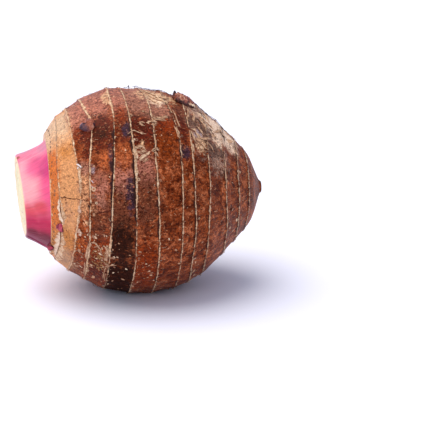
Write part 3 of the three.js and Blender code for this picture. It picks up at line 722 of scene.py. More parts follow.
def buildStub():
    # one closed mesh: the ribbed side, then the cut face, from its rim to its middle
    turns = np.linspace(0, 2 * math.pi, stub["columns"], endpoint=False)
    shares = np.linspace(0, 1, stub["sideRows"])[:, None]
    side = stubPlace(shares, turns)
    out = gridNormals(side[::-1])[::-1]
    degrees = np.degrees(turns)
    lift = np.zeros(side.shape[:2])
    for edge, step in sheathEdges:
        past = (degrees - edge + stub["edgeLean"] * shares ** 1.5 * np.sin(edge)) % 360
        stepped = step * np.exp(-past / stub["edgeFade"]) * (1 - 0.2 * shares)
        lift += stepped * np.clip(past / stub["edgeWide"], 0, 1)
    fanned = turns - stub["fan"] * shares
    strandCircle = (stub["strandRadius"] * np.sin(fanned), stub["strandRadius"] * np.cos(fanned))
    fibreSpace = np.stack(np.broadcast_arrays(shares * stub["strandLong"], *strandCircle), -1)
    lift += bumps(fibreSpace, *stub["strands"]) + bumps(fibreSpace, *stub["ribs"])
    lift += bumps(side, *stub["lumps"])
    rim = np.clip((shares - (1 - stub["rimShare"])) / stub["rimShare"], 0, 1)
    lift = lift * (1 - rim) - stub["rimDrop"] * rim ** 2
    side = side + out * lift[:, :, None] * mm
    # the cut face: sheath over sheath, each a circle set off towards the side where it is thin
    edges = [(0.0, 0.0, stub["cutRadius"] - stub["rim"])]
    wide = (stub["cutRadius"] - stub["rim"]) / (stub["sheaths"] + stub["heart"])
    heading = math.radians(stub["firstHeading"])
    for k in range(stub["sheaths"]):
        y, z, r = edges[-1]
        thin = wide * stub["offCentre"] * (stub["firstOffCentre"] if k == 0 else 1.0)
        edges.append((y + thin * math.cos(heading), z + thin * math.sin(heading), r - wide))
        heading += math.radians(stub["nextHeading"])
    rows, sheath = [], []
    for k in range(stub["sheaths"]):
        for step in range(stub["faceRows"]):
            t = step / stub["faceRows"]
            y0, z0, r0 = (edges[k][i] * (1 - t) + edges[k + 1][i] * t for i in range(3))
            y, z = y0 - r0 * np.sin(turns), z0 + r0 * np.cos(turns)
            across = np.hypot(y, z) / stub["cutRadius"]
            rows.append(stubPlace(np.ones_like(turns), np.arctan2(-y, z), across))
            sheath.append(np.full(len(turns), k + t))
    face = np.array(rows)
    sheath = np.array(sheath)
    # the sheaths are no true circles: each is drawn in and out on its way round, less so at the rim
    waver = bumps(face * [0, 1, 1] + sheath[..., None] * [4 * mm, 0, 0], *stub["waver"])
    inward = np.array([0, axisY, axisZ]) - face * [0, 1, 1]
    drawn = waver * np.clip(sheath, 0, 1) * np.clip(3.5 - 0.7 * sheath, 0, 1)
    face = face + inward * drawn[..., None]
    part = sheath % 1
    rise = stub["sheathHigh"] * (0.5 - np.cos(2 * math.pi * part) * 0.5) + bumps(face, *stub["fleshGrain"])
    rise += bumps(face, *stub["fleshSwell"]) - stub["sheathGap"] * (part < 0.01)
    face[:, :, 0] -= (rise * np.clip(sheath * 4, 0, 1) - 0.1) * mm
    points = np.concatenate([side, face])[::-1]
    middle = face[-1].mean(0) - np.array([0.4 * mm, 0, 0])
    piece = meshPiece("leaf_stalk_cut", *closedGrid(points, (middle, (crownX + stub["sink"], axisY, axisZ))))
    mmAlong = np.broadcast_to(shares * stub["length"] / mm, side.shape[:2])
    onFace = np.concatenate([np.zeros(side.shape[:2]), np.ones(face.shape[:2])])[::-1]
    # the stains lie on the side, so the face counts as far away from them all
    stainAlong = np.concatenate([mmAlong, np.full(face.shape[:2], 30.0)])
    masks = stainMasks(stalkStains, stainAlong, np.broadcast_to(degrees, points.shape[:2]), 5)
    for name, mask in masks.items():
        paint(piece, name, withPoles(mask[::-1]))
    strand = np.concatenate([
        np.stack(np.broadcast_arrays(shares * stub["length"], *strandCircle), -1), face])
    paint(piece, "fibre", withPoles(strand[::-1]))
    paint(piece, "onFace", withPoles(onFace))
    paint(piece, "sheath", withPoles(np.concatenate([np.zeros(side.shape[:2]) - 0.5, sheath])[::-1]))
    return piece


# The stalk's patterns in mm, its colours, and how the pink rind lets light in.
stalk = dict(
    streakLong=14, streakWide=0.9, bandLong=10, bandWide=3, pore=1.0, bump=0.3, softLight=2,
    ground=[(0.35, "#EE6486"), (0.5, "#F47C96"), (0.65, "#F998A8")], outerFlesh="#EED3A6",
    innerFlesh="#E8DBB0", poreColour="#C9AE7A", lineColour="#D9A088")


def makeStalk():
    # Fresh taro leaf stalk: a smooth waxy rind, pink to crimson with lengthwise streaks, and a wet cut of
    # cream spongy sheaths. To the eye it is satin, softly lit from within, and darker at the underside.
    material, tree, shader = newMaterial("freshLeafStalk")
    place = addNode(tree, "ShaderNodeTexCoord").outputs["Object"]
    fibrePlace = addNode(tree, "ShaderNodeAttribute", attribute_name="fibre").outputs["Vector"]
    # fine streaks along the stalk, and broader bands that tint it
    streakScale = (1 / stalk["streakLong"], 1 / stalk["streakWide"], 1 / stalk["streakWide"])
    streakPlace = addNode(tree, "ShaderNodeMapping", {"Vector": fibrePlace, "Scale": streakScale})
    streaks = addNode(tree, "ShaderNodeTexNoise", {
        "Vector": streakPlace, "Scale": 1 / mm, "Detail": 3, "Roughness": 0.6, "Distortion": 0.3})
    bandScale = (1 / stalk["bandLong"], 1 / stalk["bandWide"], 1 / stalk["bandWide"])
    bandPlace = addNode(tree, "ShaderNodeMapping", {"Vector": fibrePlace, "Scale": bandScale})
    broad = addNode(tree, "ShaderNodeTexNoise", {
        "Vector": bandPlace, "Scale": 1 / mm, "Detail": 3, "Roughness": 0.6, "Distortion": 0.6})
    raggedSpan = addNode(tree, "ShaderNodeMath", {0: broad, 1: 0.5}, operation="SUBTRACT")
    base = addNode(tree, "ShaderNodeValToRGB", {"Fac": broad}, stalk["ground"])
    colour = layStains(tree, base, stalkStains, raggedSpan)
    tone = addNode(tree, "ShaderNodeMapRange", {
        "Value": streaks, "From Min": 0.35, "From Max": 0.65, "To Min": 0.92, "To Max": 1.08})
    rind = addNode(tree, "ShaderNodeMix", {
        0: 1.0, 6: colour, 7: tone}, data_type="RGBA", blend_type="MULTIPLY")
    # the cut: cream sheaths with a pink line between them and fine pores, greener towards the middle
    sheath = addNode(tree, "ShaderNodeAttribute", attribute_name="sheath").outputs["Fac"]
    part = addNode(tree, "ShaderNodeMath", {0: sheath}, operation="FRACT")
    fromLine = addNode(tree, "ShaderNodeMath", {0: part, 1: 0.5}, operation="SUBTRACT")
    toLine = addNode(tree, "ShaderNodeMath", {0: fromLine}, operation="ABSOLUTE")
    line = addNode(tree, "ShaderNodeMapRange", {
        "Value": toLine, "From Min": 0.41, "From Max": 0.49}, interpolation_type="SMOOTHSTEP")
    pores = addNode(tree, "ShaderNodeTexVoronoi", {"Vector": place, "Scale": 1 / (stalk["pore"] * mm)})
    pore = addNode(tree, "ShaderNodeMapRange", {
        "Value": pores, "From Min": 0.16, "From Max": 0.3, "To Min": 0.6, "To Max": 0.0})
    flesh = addNode(tree, "ShaderNodeMapRange", {"Value": sheath, "From Min": 0.2, "From Max": 1.6})
    fleshTone = addNode(tree, "ShaderNodeMix", {
        0: flesh, 6: stalk["outerFlesh"], 7: stalk["innerFlesh"]}, data_type="RGBA")
    pored = addNode(tree, "ShaderNodeMix", {
        0: pore, 6: fleshTone, 7: stalk["poreColour"]}, data_type="RGBA")
    lined = addNode(tree, "ShaderNodeMix", {0: line, 6: pored, 7: stalk["lineColour"]}, data_type="RGBA")
    onFace = addNode(tree, "ShaderNodeAttribute", attribute_name="onFace").outputs["Fac"]
    whole = addNode(tree, "ShaderNodeMix", {0: onFace, 6: rind, 7: lined}, data_type="RGBA")
    tree.links.new(outputOf(whole), shader.inputs["Base Color"])
    height = addNode(tree, "ShaderNodeMath", {0: pore, 1: -0.8, 2: streaks}, operation="MULTIPLY_ADD")
    bump = addNode(tree, "ShaderNodeBump", {
        "Height": height, "Strength": 0.35, "Distance": stalk["bump"] * mm})
    tree.links.new(outputOf(bump), shader.inputs["Normal"])
    shader.inputs["Roughness"].default_value = 0.38
    shader.inputs["Specular IOR Level"].default_value = 0.18
    shader.inputs["Subsurface Weight"].default_value = 0.25
    shader.inputs["Subsurface Radius"].default_value = (1.0, 0.4, 0.3)
    shader.inputs["Subsurface Scale"].default_value = stalk["softLight"] * mm
    return material


stalkCut = buildStub()
stalkCut.data.materials.append(makeStalk())
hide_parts("leaf_stalk_stub")
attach(stalkCut, "root")
print("cut the leaf stalks:", len(stalkCut.data.polygons), "faces")


def skinFrame(mmAlong, degreesTurn, heading=0.0):
    # a matrix on the skin: x along the heading (0 is towards the root end, 90 down the front), z out
    point, out, ahead = onSkin(mmAlong, degreesTurn)
    side = ahead.cross(out)
    a = math.radians(heading)
    x = ahead * math.cos(a) + side * math.sin(a)
    y = out.cross(x)
    return Matrix([(x[i], y[i], out[i], point[i]) for i in range(3)] + [(0, 0, 0, 1)])


def newParts():
    # what one piece is gathered from, in metres, with a tone for each vertex
    return dict(vertices=[], faces=[], tones=[])


def addPart(parts, vertices, faces, tones, matrix):
    # adds vertices given in mm, placed by a matrix
    start = len(parts["vertices"])
    parts["vertices"] += [tuple(matrix @ (Vector(v) * mm)) for v in vertices]
    parts["faces"] += [tuple(start + i for i in face) for face in faces]
    parts["tones"] += list(tones)


def addSheet(parts, points, thick, tones, matrix):
    # a grid given a thickness inwards and closed round its border
    rows, columns = points.shape[:2]
    inner = points - gridNormals(points, False) * thick[..., None]
    count = rows * columns
    faces = gridFaces(rows, columns, False)
    faces += [tuple(count + i for i in reversed(face)) for face in faces]
    border = list(range(columns)) + [r * columns + columns - 1 for r in range(1, rows)]
    border += [(rows - 1) * columns + c for c in reversed(range(columns - 1))]
    border += [r * columns for r in reversed(range(1, rows - 1))]
    faces += [(b, a, count + a, count + b) for a, b in zip(border, border[1:] + border[:1])]
    addPart(parts, np.concatenate([points, inner]).reshape(-1, 3), faces, np.tile(tones.ravel(), 2), matrix)


def addTube(parts, points, tones, matrix):
    # a closed tube of points in mm, placed by a matrix
    vertices, faces = closedGrid(points, (points[0].mean(0), points[-1].mean(0)))
    addPart(parts, vertices, faces, withPoles(tones), matrix)


def partsPiece(name, parts):
    # the gathered parts as one object, with its tones painted on
    piece = meshPiece(name, parts["vertices"], parts["faces"])
    paint(piece, "tone", parts["tones"])
    return piece


def leafSheet(parts, matrix, length, width, tilt, curl, cup, thick, blunt, tear, tone, rows=14, columns=9):
    # a pointed scale or flake: it leaves its foot at a tilt, curls upwards, and its edges cup
    v = np.linspace(0, 1, rows)[:, None]
    u = np.linspace(-1, 1, columns)[None, :]
    bend = np.radians(tilt + curl * (v - 0.5 / rows))
    step = length / (rows - 1)
    x = np.cumsum(np.cos(bend), 0) * step - step
    z = np.cumsum(np.sin(bend), 0) * step - step * np.sin(bend[0])
    wide = width / 2 * np.maximum(1 - v ** blunt, 0) ** 0.6 * (0.75 + 0.5 * v * (1 - v) * 2)
    wide = np.maximum(wide, 0.04)
    ragged = 1 + tear * noiseField(np.stack(np.broadcast_arrays(v * 4, np.sign(u) * 3.0, length), -1), 1.0)
    y = u * wide * np.where(abs(u) > 0.5, ragged, 1)
    lift = cup * wide * u ** 2
    grid = np.stack(np.broadcast_arrays(x - lift * np.sin(bend), y, z + lift * np.cos(bend)), -1)
    grid = grid + 0.12 * tear * noiseField(grid, 1.3, length)[..., None]
    tones = np.broadcast_to(tone[0] + (tone[1] - tone[0]) * v + 0 * u, grid.shape[:2])
    edge = 1 - 0.6 * np.maximum(abs(u), v)
    addSheet(parts, grid[:, ::-1], thick * np.broadcast_to(edge, grid.shape[:2]), tones, matrix)


budMiddle = 0.33  # the share of a bud's length that lies behind its place on the skin
budDepth = 1.2  # how far its underside reaches into the skin, in mm
budScaleThick = 0.3  # in mm


def budBody(parts, matrix, bud, tone):
    # the bud's core: blunt behind, pointed ahead
    v = np.linspace(-0.34, 0.995, 22)[:, None]
    a = np.linspace(0, 2 * math.pi, 28, endpoint=False)[None, :]
    w, h = budOutline(v, bud)
    axis = bud["length"] * (v - budMiddle)
    y = w * np.cos(a)
    z = np.where(np.sin(a) > 0, h, budDepth) * np.sin(a) + bud["rise"] * np.maximum(v, 0) ** 2
    grid = np.stack(np.broadcast_arrays(axis, y, z), -1)
    grid += 0.1 * noiseField(grid, 1.5, 3.0)[..., None] * np.array([0, 1, 1])
    addTube(parts, grid, np.full(grid.shape[:2], tone), matrix)


def budOutline(v, bud):
    # half width and height of a bud along it
    back = np.sqrt(np.maximum(1 - (v / 0.36) ** 2, 0))
    front = np.maximum(np.cos(np.clip(v, 0, 1) * math.pi / 2), 0) ** 0.85
    shape = np.where(v < 0, back, front)
    return bud["width"] / 2 * shape + 0.02, bud["height"] * shape + 0.02


def budScale(parts, matrix, bud, near, far, middle, wrap, swell, tone):
    # a scale wrapped over the bud from near to far, centred at an angle round it, pointed at its far end
    v = np.linspace(0, 1, 15)[:, None]
    u = np.linspace(-1, 1, 19)[None, :]
    at = near + (far - near) * v
    w, h = budOutline(at, bud)
    spread = np.maximum(1 - v ** 2.0, 0) ** 0.6
    a = np.radians(middle + wrap * u * spread)
    grow = 1 + swell + 0.08 * np.abs(u) ** 3 + 0.12 * v ** 3
    axis = bud["length"] * (at - budMiddle)
    z = np.where(np.sin(a) > 0, h + 0.25, budDepth) * np.sin(a) * grow + bud["rise"] * np.maximum(at, 0) ** 2
    grid = np.stack(np.broadcast_arrays(axis, (w + 0.2) * np.cos(a) * grow, z), -1)
    grid = grid + 0.16 * noiseField(grid, 1.1, near)[..., None] + 0.1 * noiseField(grid, 0.5, near)[..., None]
    tones = np.broadcast_to(tone[0] + (tone[1] - tone[0]) * v + 0 * u, grid.shape[:2])
    addSheet(parts, grid, np.full(grid.shape[:2], budScaleThick), tones, matrix)


scaleMottle = 0.9 * mm  # the ribs and specks of the scales are about this wide


def scaleMaterial(name, colours, roughness):
    # Leathery bud scales: a thin tough skin with fine lengthwise ribs, dark where it is fresh and
    # dry and pale where it is torn; on the dry scales a pale lavender also paints highlights. To the eye it
    # has a dull shine along its ribs.
    material, tree, shader = newMaterial(name)
    place = addNode(tree, "ShaderNodeTexCoord").outputs["Object"]
    mottle = addNode(tree, "ShaderNodeTexNoise", {
        "Vector": place, "Scale": 1 / scaleMottle, "Detail": 3, "Roughness": 0.6, "Distortion": 1.0})
    tone = addNode(tree, "ShaderNodeAttribute", attribute_name="tone").outputs["Fac"]
    shift = addNode(tree, "ShaderNodeMath", {0: mottle, 1: 0.5}, operation="SUBTRACT")
    mixed = addNode(tree, "ShaderNodeMath", {0: shift, 1: 0.95, 2: tone}, operation="MULTIPLY_ADD")
    stops = [(i / (len(colours) - 1), colour) for i, colour in enumerate(colours)]
    ramp = addNode(tree, "ShaderNodeValToRGB", {"Fac": mixed}, stops)
    tree.links.new(outputOf(ramp), shader.inputs["Base Color"])
    bump = addNode(tree, "ShaderNodeBump", {"Height": mottle, "Strength": 0.7, "Distance": 0.5 * mm})
    tree.links.new(outputOf(bump), shader.inputs["Normal"])
    shader.inputs["Roughness"].default_value = roughness
    return material


# The scales' colours, from tone 0 to tone 1.
# the first, pale lavender colour of the dry scales paints the highlights on their dark parts
dryTones = ("#9C8CA4", "#321A28", "#50303E", "#8C4832", "#BC6444", "#E0A486")
freshTones = ("#3A0F1C", "#701A30", "#9E2740", "#C8445A", "#EC9A9C")
shootTones = ("#2A1210", "#5E2C26", "#964E3C", "#C47C5E", "#EAC09A", "#F5E0BE")
dryScales = scaleMaterial("dryBudScales", dryTones, 0.34)
freshScales = scaleMaterial("freshBudScales", freshTones, 0.35)
shootScales = scaleMaterial("brokenShoot", shootTones, 0.5)

# Each bud: where it sits, which way it points, its size in mm, the tone of its core, and its scales as
# (near, far, middle in degrees round it, half wrap, swell, tone from foot to tip).
buds = {
    "upper_bud": dict(at=(21.6, 31.6), heading=195, length=7.3, width=5.9, height=3.5, rise=0.2, core=0.3,
        scales=[(-0.2, 0.99, 90, 105, 0.03, (0.54, 0.24)), (0.1, 0.97, 126, 36, 0.1, (0.16, 0.02)),
                (-0.1, 0.8, 34, 44, 0.08, (0.56, 0.3)), (-0.34, 0.12, 122, 44, 0.1, (0.74, 0.54)),
                (0.0, 0.42, 98, 15, 0.14, (0.8, 0.66)), (-0.34, -0.02, 72, 36, 0.16, (0.86, 0.66)),
                (-0.35, -0.16, 24, 28, 0.26, (0.97, 0.74))]),
    "lower_bud": dict(at=(4.9, 101.0), heading=58, length=3.9, width=3.7, height=2.0, rise=0.3, core=0.3,
        scales=[(-0.25, 0.9, 60, 60, 0.08, (0.55, 0.75)), (-0.1, 0.95, 125, 60, 0.04, (0.3, 0.15)),
                (-0.34, 0.2, 100, 50, 0.14, (0.25, 0.4))]),
    "collar_bud": dict(at=(0.3, 132.0), heading=210, length=3.4, width=3.2, height=1.9, rise=0.5, core=0.3,
        scales=[(-0.25, 0.85, 60, 60, 0.08, (0.45, 0.3)), (-0.1, 0.6, 120, 60, 0.14, (0.65, 0.4))]),
    "back_crown_bud": dict(at=(13, 232), heading=200, length=6.6, width=5.4, height=2.4, rise=0.3, core=0.2,
        scales=[(-0.3, 0.6, 70, 62, 0.12, (0.85, 0.6)), (-0.1, 0.95, 115, 62, 0.04, (0.4, 0.25))]),
    "back_belly_bud": dict(at=(45.2, 262), heading=172, length=7.4, width=5.8, height=2.6, rise=0.4, core=0.2,
        scales=[(-0.3, 0.5, 110, 66, 0.12, (0.8, 0.62)), (-0.1, 0.96, 70, 62, 0.04, (0.45, 0.25))]),
}
freshBuds = ("lower_bud", "collar_bud")
for name, bud in buds.items():
    parts = newParts()
    matrix = skinFrame(*bud["at"], bud["heading"])
    budBody(parts, matrix, bud, bud["core"])
    for scale in bud["scales"]:
        budScale(parts, matrix, bud, *scale)
    piece = partsPiece(name + "_scales", parts)
    fresh = name in freshBuds
    piece.data.materials.append(freshScales if fresh else dryScales)
    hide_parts(name)
    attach(piece, "root")

# The side shoot's stump: a torn mound, its curled eye, and the rags of its sheaths as
# (mm along the mound, mm across, heading, tilt, curl, length, width, tone from foot to tip).
shoot = dict(
    at=(78.9, 7.6), length=13.4, width=9.7, height=3.7, foot=0.8, lumps=0.5, lumpWide=1.7,
    eye=(-2.9, -3.0, 2.2), eyeLean=38, eyeRadius=1.7, eyeWire=0.5, eyeFrom=0.3, eyeTo=9.0, eyeTighten=0.07,
    eyeRise=0.06, eyeTone=0.62, ragSink=0.5, ragCup=0.25, ragThick=0.45, ragBlunt=4.0, ragTear=0.8)
shootRags = [
    (-4.0, -0.6, 170, 0, 20, 2.4, 3.2, (0.6, 0.7)), (-3.2, 2.4, 140, 0, 10, 2.6, 3.0, (0.4, 0.5)),
    (-2.6, -3.2, 262, -20, -30, 2.4, 3.4, (0.2, 0.05)), (-0.4, -3.6, 270, -24, -30, 2.4, 3.6, (0.25, 0.05)),
    (1.8, -3.4, 280, -20, -30, 2.4, 3.2, (0.3, 0.15)), (3.0, -2.2, 306, -6, -24, 2.6, 3.0, (0.85, 1.0)),
    (4.4, -1.6, 330, -10, -16, 2.6, 2.6, (0.75, 0.95)), (2.2, -2.8, 276, -6, -30, 2.2, 1.6, (0.8, 0.95)),
    (0.8, 0.4, 350, 2, -16, 3.0, 3.6, (0.5, 0.36)), (2.6, 0.2, 8, -6, -14, 2.8, 3.4, (0.46, 0.6)),
    (-1.4, 0.6, 172, 4, -10, 2.6, 3.2, (0.5, 0.62)), (0.4, -1.6, 300, -6, -20, 2.6, 3.0, (0.6, 0.44)),
    (2.2, -2.0, 315, -10, -20, 2.4, 2.6, (0.46, 0.6)), (-2.4, -1.8, 225, -6, -16, 2.4, 2.8, (0.68, 0.5)),
    (2.8, 2.6, 40, -5, -20, 2.8, 3.2, (0.35, 0.45)), (0.2, 3.0, 90, -10, -20, 2.6, 3.4, (0.3, 0.4)),
]
parts = newParts()
matrix = skinFrame(*shoot["at"])
v = np.linspace(0.02, 1, 16)[:, None]
a = np.linspace(0, 2 * math.pi, 44, endpoint=False)[None, :]
spread = np.sin(v * math.pi / 2)
crest = 1 + 0.10 * np.sin(3 * a + 1) + 0.08 * np.sin(7 * a)
mound = np.stack(np.broadcast_arrays(
    spread * crest * shoot["length"] / 2 * np.cos(a), spread * crest * shoot["width"] / 2 * np.sin(a),
    np.cos(v * math.pi / 2) ** 0.7 * shoot["height"] - shoot["foot"] * (v > 0.97)), -1)
lumpy = shoot["lumps"] * noiseField(mound, shoot["lumpWide"], 8.0)
mound += lumpy[..., None] * np.array([0.5, 0.5, 1.0])
low = np.clip(-mound[..., 1] / 4, 0, 1) * v ** 2
addTube(parts, mound, 0.36 + 0.4 * noiseField(mound, 1.6, 1.0) - 0.3 * low, matrix)
for x, y, heading, tilt, curl, length, width, tone in shootRags:
    inside = 1 - (2 * x / shoot["length"]) ** 2 - (2 * y / shoot["width"]) ** 2
    moundTop = shoot["height"] * math.sqrt(max(0.05, inside))
    foot = Vector((x, y, moundTop - shoot["ragSink"])) * mm
    ragged = matrix @ Matrix.Translation(foot) @ Matrix.Rotation(math.radians(heading), 4, "Z")
    leafSheet(
        parts, ragged, length, width, tilt, curl, shoot["ragCup"], shoot["ragThick"], shoot["ragBlunt"],
        shoot["ragTear"], tone)
# the eye: a thick wire coiled inwards, which rises as it tightens
a = np.linspace(shoot["eyeFrom"], shoot["eyeTo"], 30)[:, None]
b = np.linspace(0, 2 * math.pi, 8, endpoint=False)[None, :]
coil = shoot["eyeRadius"] * (1 - shoot["eyeTighten"] * a) + shoot["eyeWire"] * np.cos(b)
raised = shoot["eyeWire"] * np.sin(b) + shoot["eyeRise"] * a
eye = np.stack(np.broadcast_arrays(coil * np.cos(a), coil * np.sin(a), raised), -1)
eye += 0.22 * noiseField(eye, 1.2, 4.0)[..., None]
tip = matrix @ Matrix.Translation(Vector(shoot["eye"]) * mm)
tip = tip @ Matrix.Rotation(math.radians(shoot["eyeLean"]), 4, "X")
addTube(parts, eye[:, ::-1], shoot["eyeTone"] + 0.3 * noiseField(eye, 0.8), tip)
shootStump = partsPiece("side_shoot_torn", parts)
shootStump.data.materials.append(shootScales)
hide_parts("side_shoot_stump")
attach(shootStump, "root")

# The scale leaf that stands beside the stump: where it stands, and its outer and inner blade.
curlLeaf = dict(
    at=(74.1, 6.6), heading=100, sink=0.8, lean=16, innerAt=(0.5, 0.9, 0),
    outer=dict(length=5.9, width=3.2, tilt=88, curl=14, cup=0.6, thick=0.7, blunt=1.3, tear=0.25,
               tone=(0.3, 0.0), rows=20, columns=13),
    inner=dict(length=4.2, width=2.4, tilt=80, curl=-6, cup=0.5, thick=0.6, blunt=1.8, tear=0.3,
               tone=(0.7, 0.4), rows=16, columns=11))
parts = newParts()
matrix = skinFrame(*curlLeaf["at"], curlLeaf["heading"])
matrix = matrix @ Matrix.Translation(Vector((0, 0, -curlLeaf["sink"] * mm)))
matrix = matrix @ Matrix.Rotation(math.radians(curlLeaf["lean"]), 4, "X")
leafSheet(parts, matrix, **curlLeaf["outer"])
leafSheet(parts, matrix @ Matrix.Translation(Vector(curlLeaf["innerAt"]) * mm), **curlLeaf["inner"])
scaleLeaf = partsPiece("side_shoot_curl", parts)
scaleLeaf.data.materials.append(shootScales)
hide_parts("side_shoot_scale")
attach(scaleLeaf, "root")
print("set the buds and the shoot")


def scatterTree():
    # one shape stood on every point of a cloud: out and ahead turn it, grow sizes it, and a seed varies it
    tree = bpy.data.node_groups.new("scatterOnSkin", "GeometryNodeTree")
    kinds = (("Geometry", "NodeSocketGeometry"), ("Shape", "NodeSocketObject"), ("Size", "NodeSocketFloat"),
             ("Size Spread", "NodeSocketFloat"), ("Tilt", "NodeSocketFloat"), ("Spin", "NodeSocketFloat"),
             ("Seed", "NodeSocketInt"), ("Finish", "NodeSocketMaterial"))
    for name, kind in kinds:
        tree.interface.new_socket(name, in_out="INPUT", socket_type=kind)
    tree.interface.new_socket("Geometry", in_out="OUTPUT", socket_type="NodeSocketGeometry")
    given = addNode(tree, "NodeGroupInput").outputs
    named = (("out", "FLOAT_VECTOR"), ("ahead", "FLOAT_VECTOR"), ("grow", "FLOAT"))
    out, ahead, grow = (addNode(tree, "GeometryNodeInputNamedAttribute", {"Name": name}, data_type=kind)
                        for name, kind in named)
    stand = addNode(tree, "FunctionNodeAxesToRotation", {
        "Primary Axis": out, "Secondary Axis": ahead}, primary_axis="Z", secondary_axis="X")
    draws = []
    for offset in range(4):
        seed = addNode(tree, "ShaderNodeMath", {0: given["Seed"], 1: float(offset)}, operation="ADD")
        draws.append(addNode(tree, "FunctionNodeRandomValue", {
            2: -1.0, 3: 1.0, "Seed": seed}, data_type="FLOAT").outputs[1])
    lean = addNode(tree, "ShaderNodeMath", {0: draws[0], 1: given["Tilt"]}, operation="MULTIPLY")
    roll = addNode(tree, "ShaderNodeMath", {0: draws[1], 1: given["Tilt"]}, operation="MULTIPLY")
    spin = addNode(tree, "ShaderNodeMath", {0: draws[2], 1: given["Spin"]}, operation="MULTIPLY")
    wobble = addNode(tree, "ShaderNodeCombineXYZ", {"X": roll, "Y": lean, "Z": spin})
    turned = addNode(tree, "FunctionNodeRotateRotation", {
        "Rotation": stand, "Rotate By": wobble}, rotation_space="LOCAL")
    varied = addNode(tree, "ShaderNodeMath", {
        0: draws[3], 1: given["Size Spread"], 2: 1.0}, operation="MULTIPLY_ADD")
    sized = addNode(tree, "ShaderNodeMath", {0: varied, 1: given["Size"]}, operation="MULTIPLY")
    grown = addNode(tree, "ShaderNodeMath", {0: sized, 1: grow}, operation="MULTIPLY")
    shape = addNode(tree, "GeometryNodeObjectInfo", {"Object": given["Shape"]})
    stood = addNode(tree, "GeometryNodeInstanceOnPoints", {
        "Points": given["Geometry"], "Instance": shape.outputs["Geometry"], "Rotation": turned,
        "Scale": grown})
    shade = addNode(tree, "FunctionNodeRandomValue", {
        2: 0.0, 3: 1.0, "Seed": given["Seed"]}, data_type="FLOAT")
    marked = addNode(tree, "GeometryNodeStoreNamedAttribute", {
        "Geometry": stood, "Name": "shade", "Value": shade.outputs[1]}, data_type="FLOAT", domain="INSTANCE")
    real = addNode(tree, "GeometryNodeRealizeInstances", {"Geometry": marked})
    finished = addNode(tree, "GeometryNodeSetMaterial", {"Geometry": real, "Material": given["Finish"]})
    addNode(tree, "NodeGroupOutput", {"Geometry": finished})
    return tree


scatter = scatterTree()


def scatterPiece(name, shape, places, material, tilt, spin, seed, sizeSpread=0.3):
    # places are (mm from the crown, degrees, heading, size in mm), for a shape that is one mm long;
    # the result is a plain mesh
    frames = [skinFrame(*place[:3]) for place in places]
    cloud = meshPiece(name, [m.translation for m in frames], [])
    paint(cloud, "out", [m.col[2][:3] for m in frames])
    paint(cloud, "ahead", [m.col[0][:3] for m in frames])
    paint(cloud, "grow", [place[3] for place in places])
    modifier = cloud.modifiers.new("scatter", "NODES")
    modifier.node_group = scatter
    values = {
        "Shape": shape, "Size": 1.0, "Size Spread": sizeSpread, "Tilt": tilt, "Spin": spin, "Seed": seed,
        "Finish": material}
    for item in scatter.interface.items_tree:
        if item.in_out == "INPUT" and item.name in values:
            modifier[item.identifier] = values[item.name]
    graph = bpy.context.evaluated_depsgraph_get()
    made = bpy.data.meshes.new_from_object(cloud.evaluated_get(graph))
    cloud.modifiers.remove(modifier)
    cloud.data = made
    made.name = name
    bpy.data.objects.remove(shape)
    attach(cloud, "root")
    print("scattered", len(places), name)
    return cloud


hair = dict(rings=7, sides=3, rise=65, root=0.12)  # rise in degrees; the root is sunk into the skin


def hairShape(bend, thick, curl):
    # a tapering hair one mm long, to be sized by the tree: it leaves the skin steeply and bends over
    v = np.linspace(0, 1, hair["rings"])[:, None]
    a = np.linspace(0, 2 * math.pi, hair["sides"], endpoint=False)[None, :]
    angle = math.radians(hair["rise"]) - np.radians(bend) * v
    x = np.cumsum(np.cos(angle), 0) / hair["rings"]
    z = np.cumsum(np.sin(angle), 0) / hair["rings"] - hair["root"]
    y = curl * v ** 2
    thin = thick * (1 - 0.8 * v)
    grid = np.stack(np.broadcast_arrays(
        x - thin * np.sin(angle) * np.cos(a), y + thin * np.sin(a), z + thin * np.cos(angle) * np.cos(a)), -1)
    parts = newParts()
    addTube(parts, grid[:, ::-1], np.broadcast_to(v, grid.shape[:2]), Matrix())
    return partsPiece("hair", parts)


strandWide = 0.8 * mm  # the strands that tint fibres and papery husk


def fibreMaterial(name, colours, roughness):
    # Dry plant fibre or papery sheath: fine strands bleached where they lie free, brown where they are not.
    # To the eye it is matt, from straw to brown, lighter at its thin edges.
    material, tree, shader = newMaterial(name)
    place = addNode(tree, "ShaderNodeTexCoord").outputs["Object"]
    strands = addNode(tree, "ShaderNodeTexNoise", {
        "Vector": place, "Scale": 1 / strandWide, "Detail": 2, "Roughness": 0.6, "Distortion": 0.5})
    shade = addNode(tree, "ShaderNodeAttribute", attribute_name="shade").outputs["Fac"]
    blend = addNode(tree, "ShaderNodeMix", {0: 0.35, 2: shade, 3: strands}, data_type="FLOAT")
    ramp = addNode(tree, "ShaderNodeValToRGB", {"Fac": blend}, list(zip((0.2, 0.5, 0.8), colours)))
    tree.links.new(outputOf(ramp), shader.inputs["Base Color"])
    bump = addNode(tree, "ShaderNodeBump", {"Height": strands, "Strength": 0.6, "Distance": 0.2 * mm})
    tree.links.new(outputOf(bump), shader.inputs["Normal"])
    shader.inputs["Roughness"].default_value = roughness
    return material


strawFibre = fibreMaterial("strawFibre", ("#8A5B40", "#C79C76", "#EBD6B8"), 0.7)
darkFibre = fibreMaterial("darkRootHair", ("#2A1A16", "#5A3A2C", "#8A6248"), 0.65)
paperHusk = fibreMaterial("paperyHusk", ("#875338", "#C0906C", "#E2C4A0"), 0.75)
corkRim = fibreMaterial("corkyRim", ("#7A4A34", "#B98B68", "#E4CBA4"), 0.7)

rng = np.random.default_rng(23)
widestRadius = 62 * mm


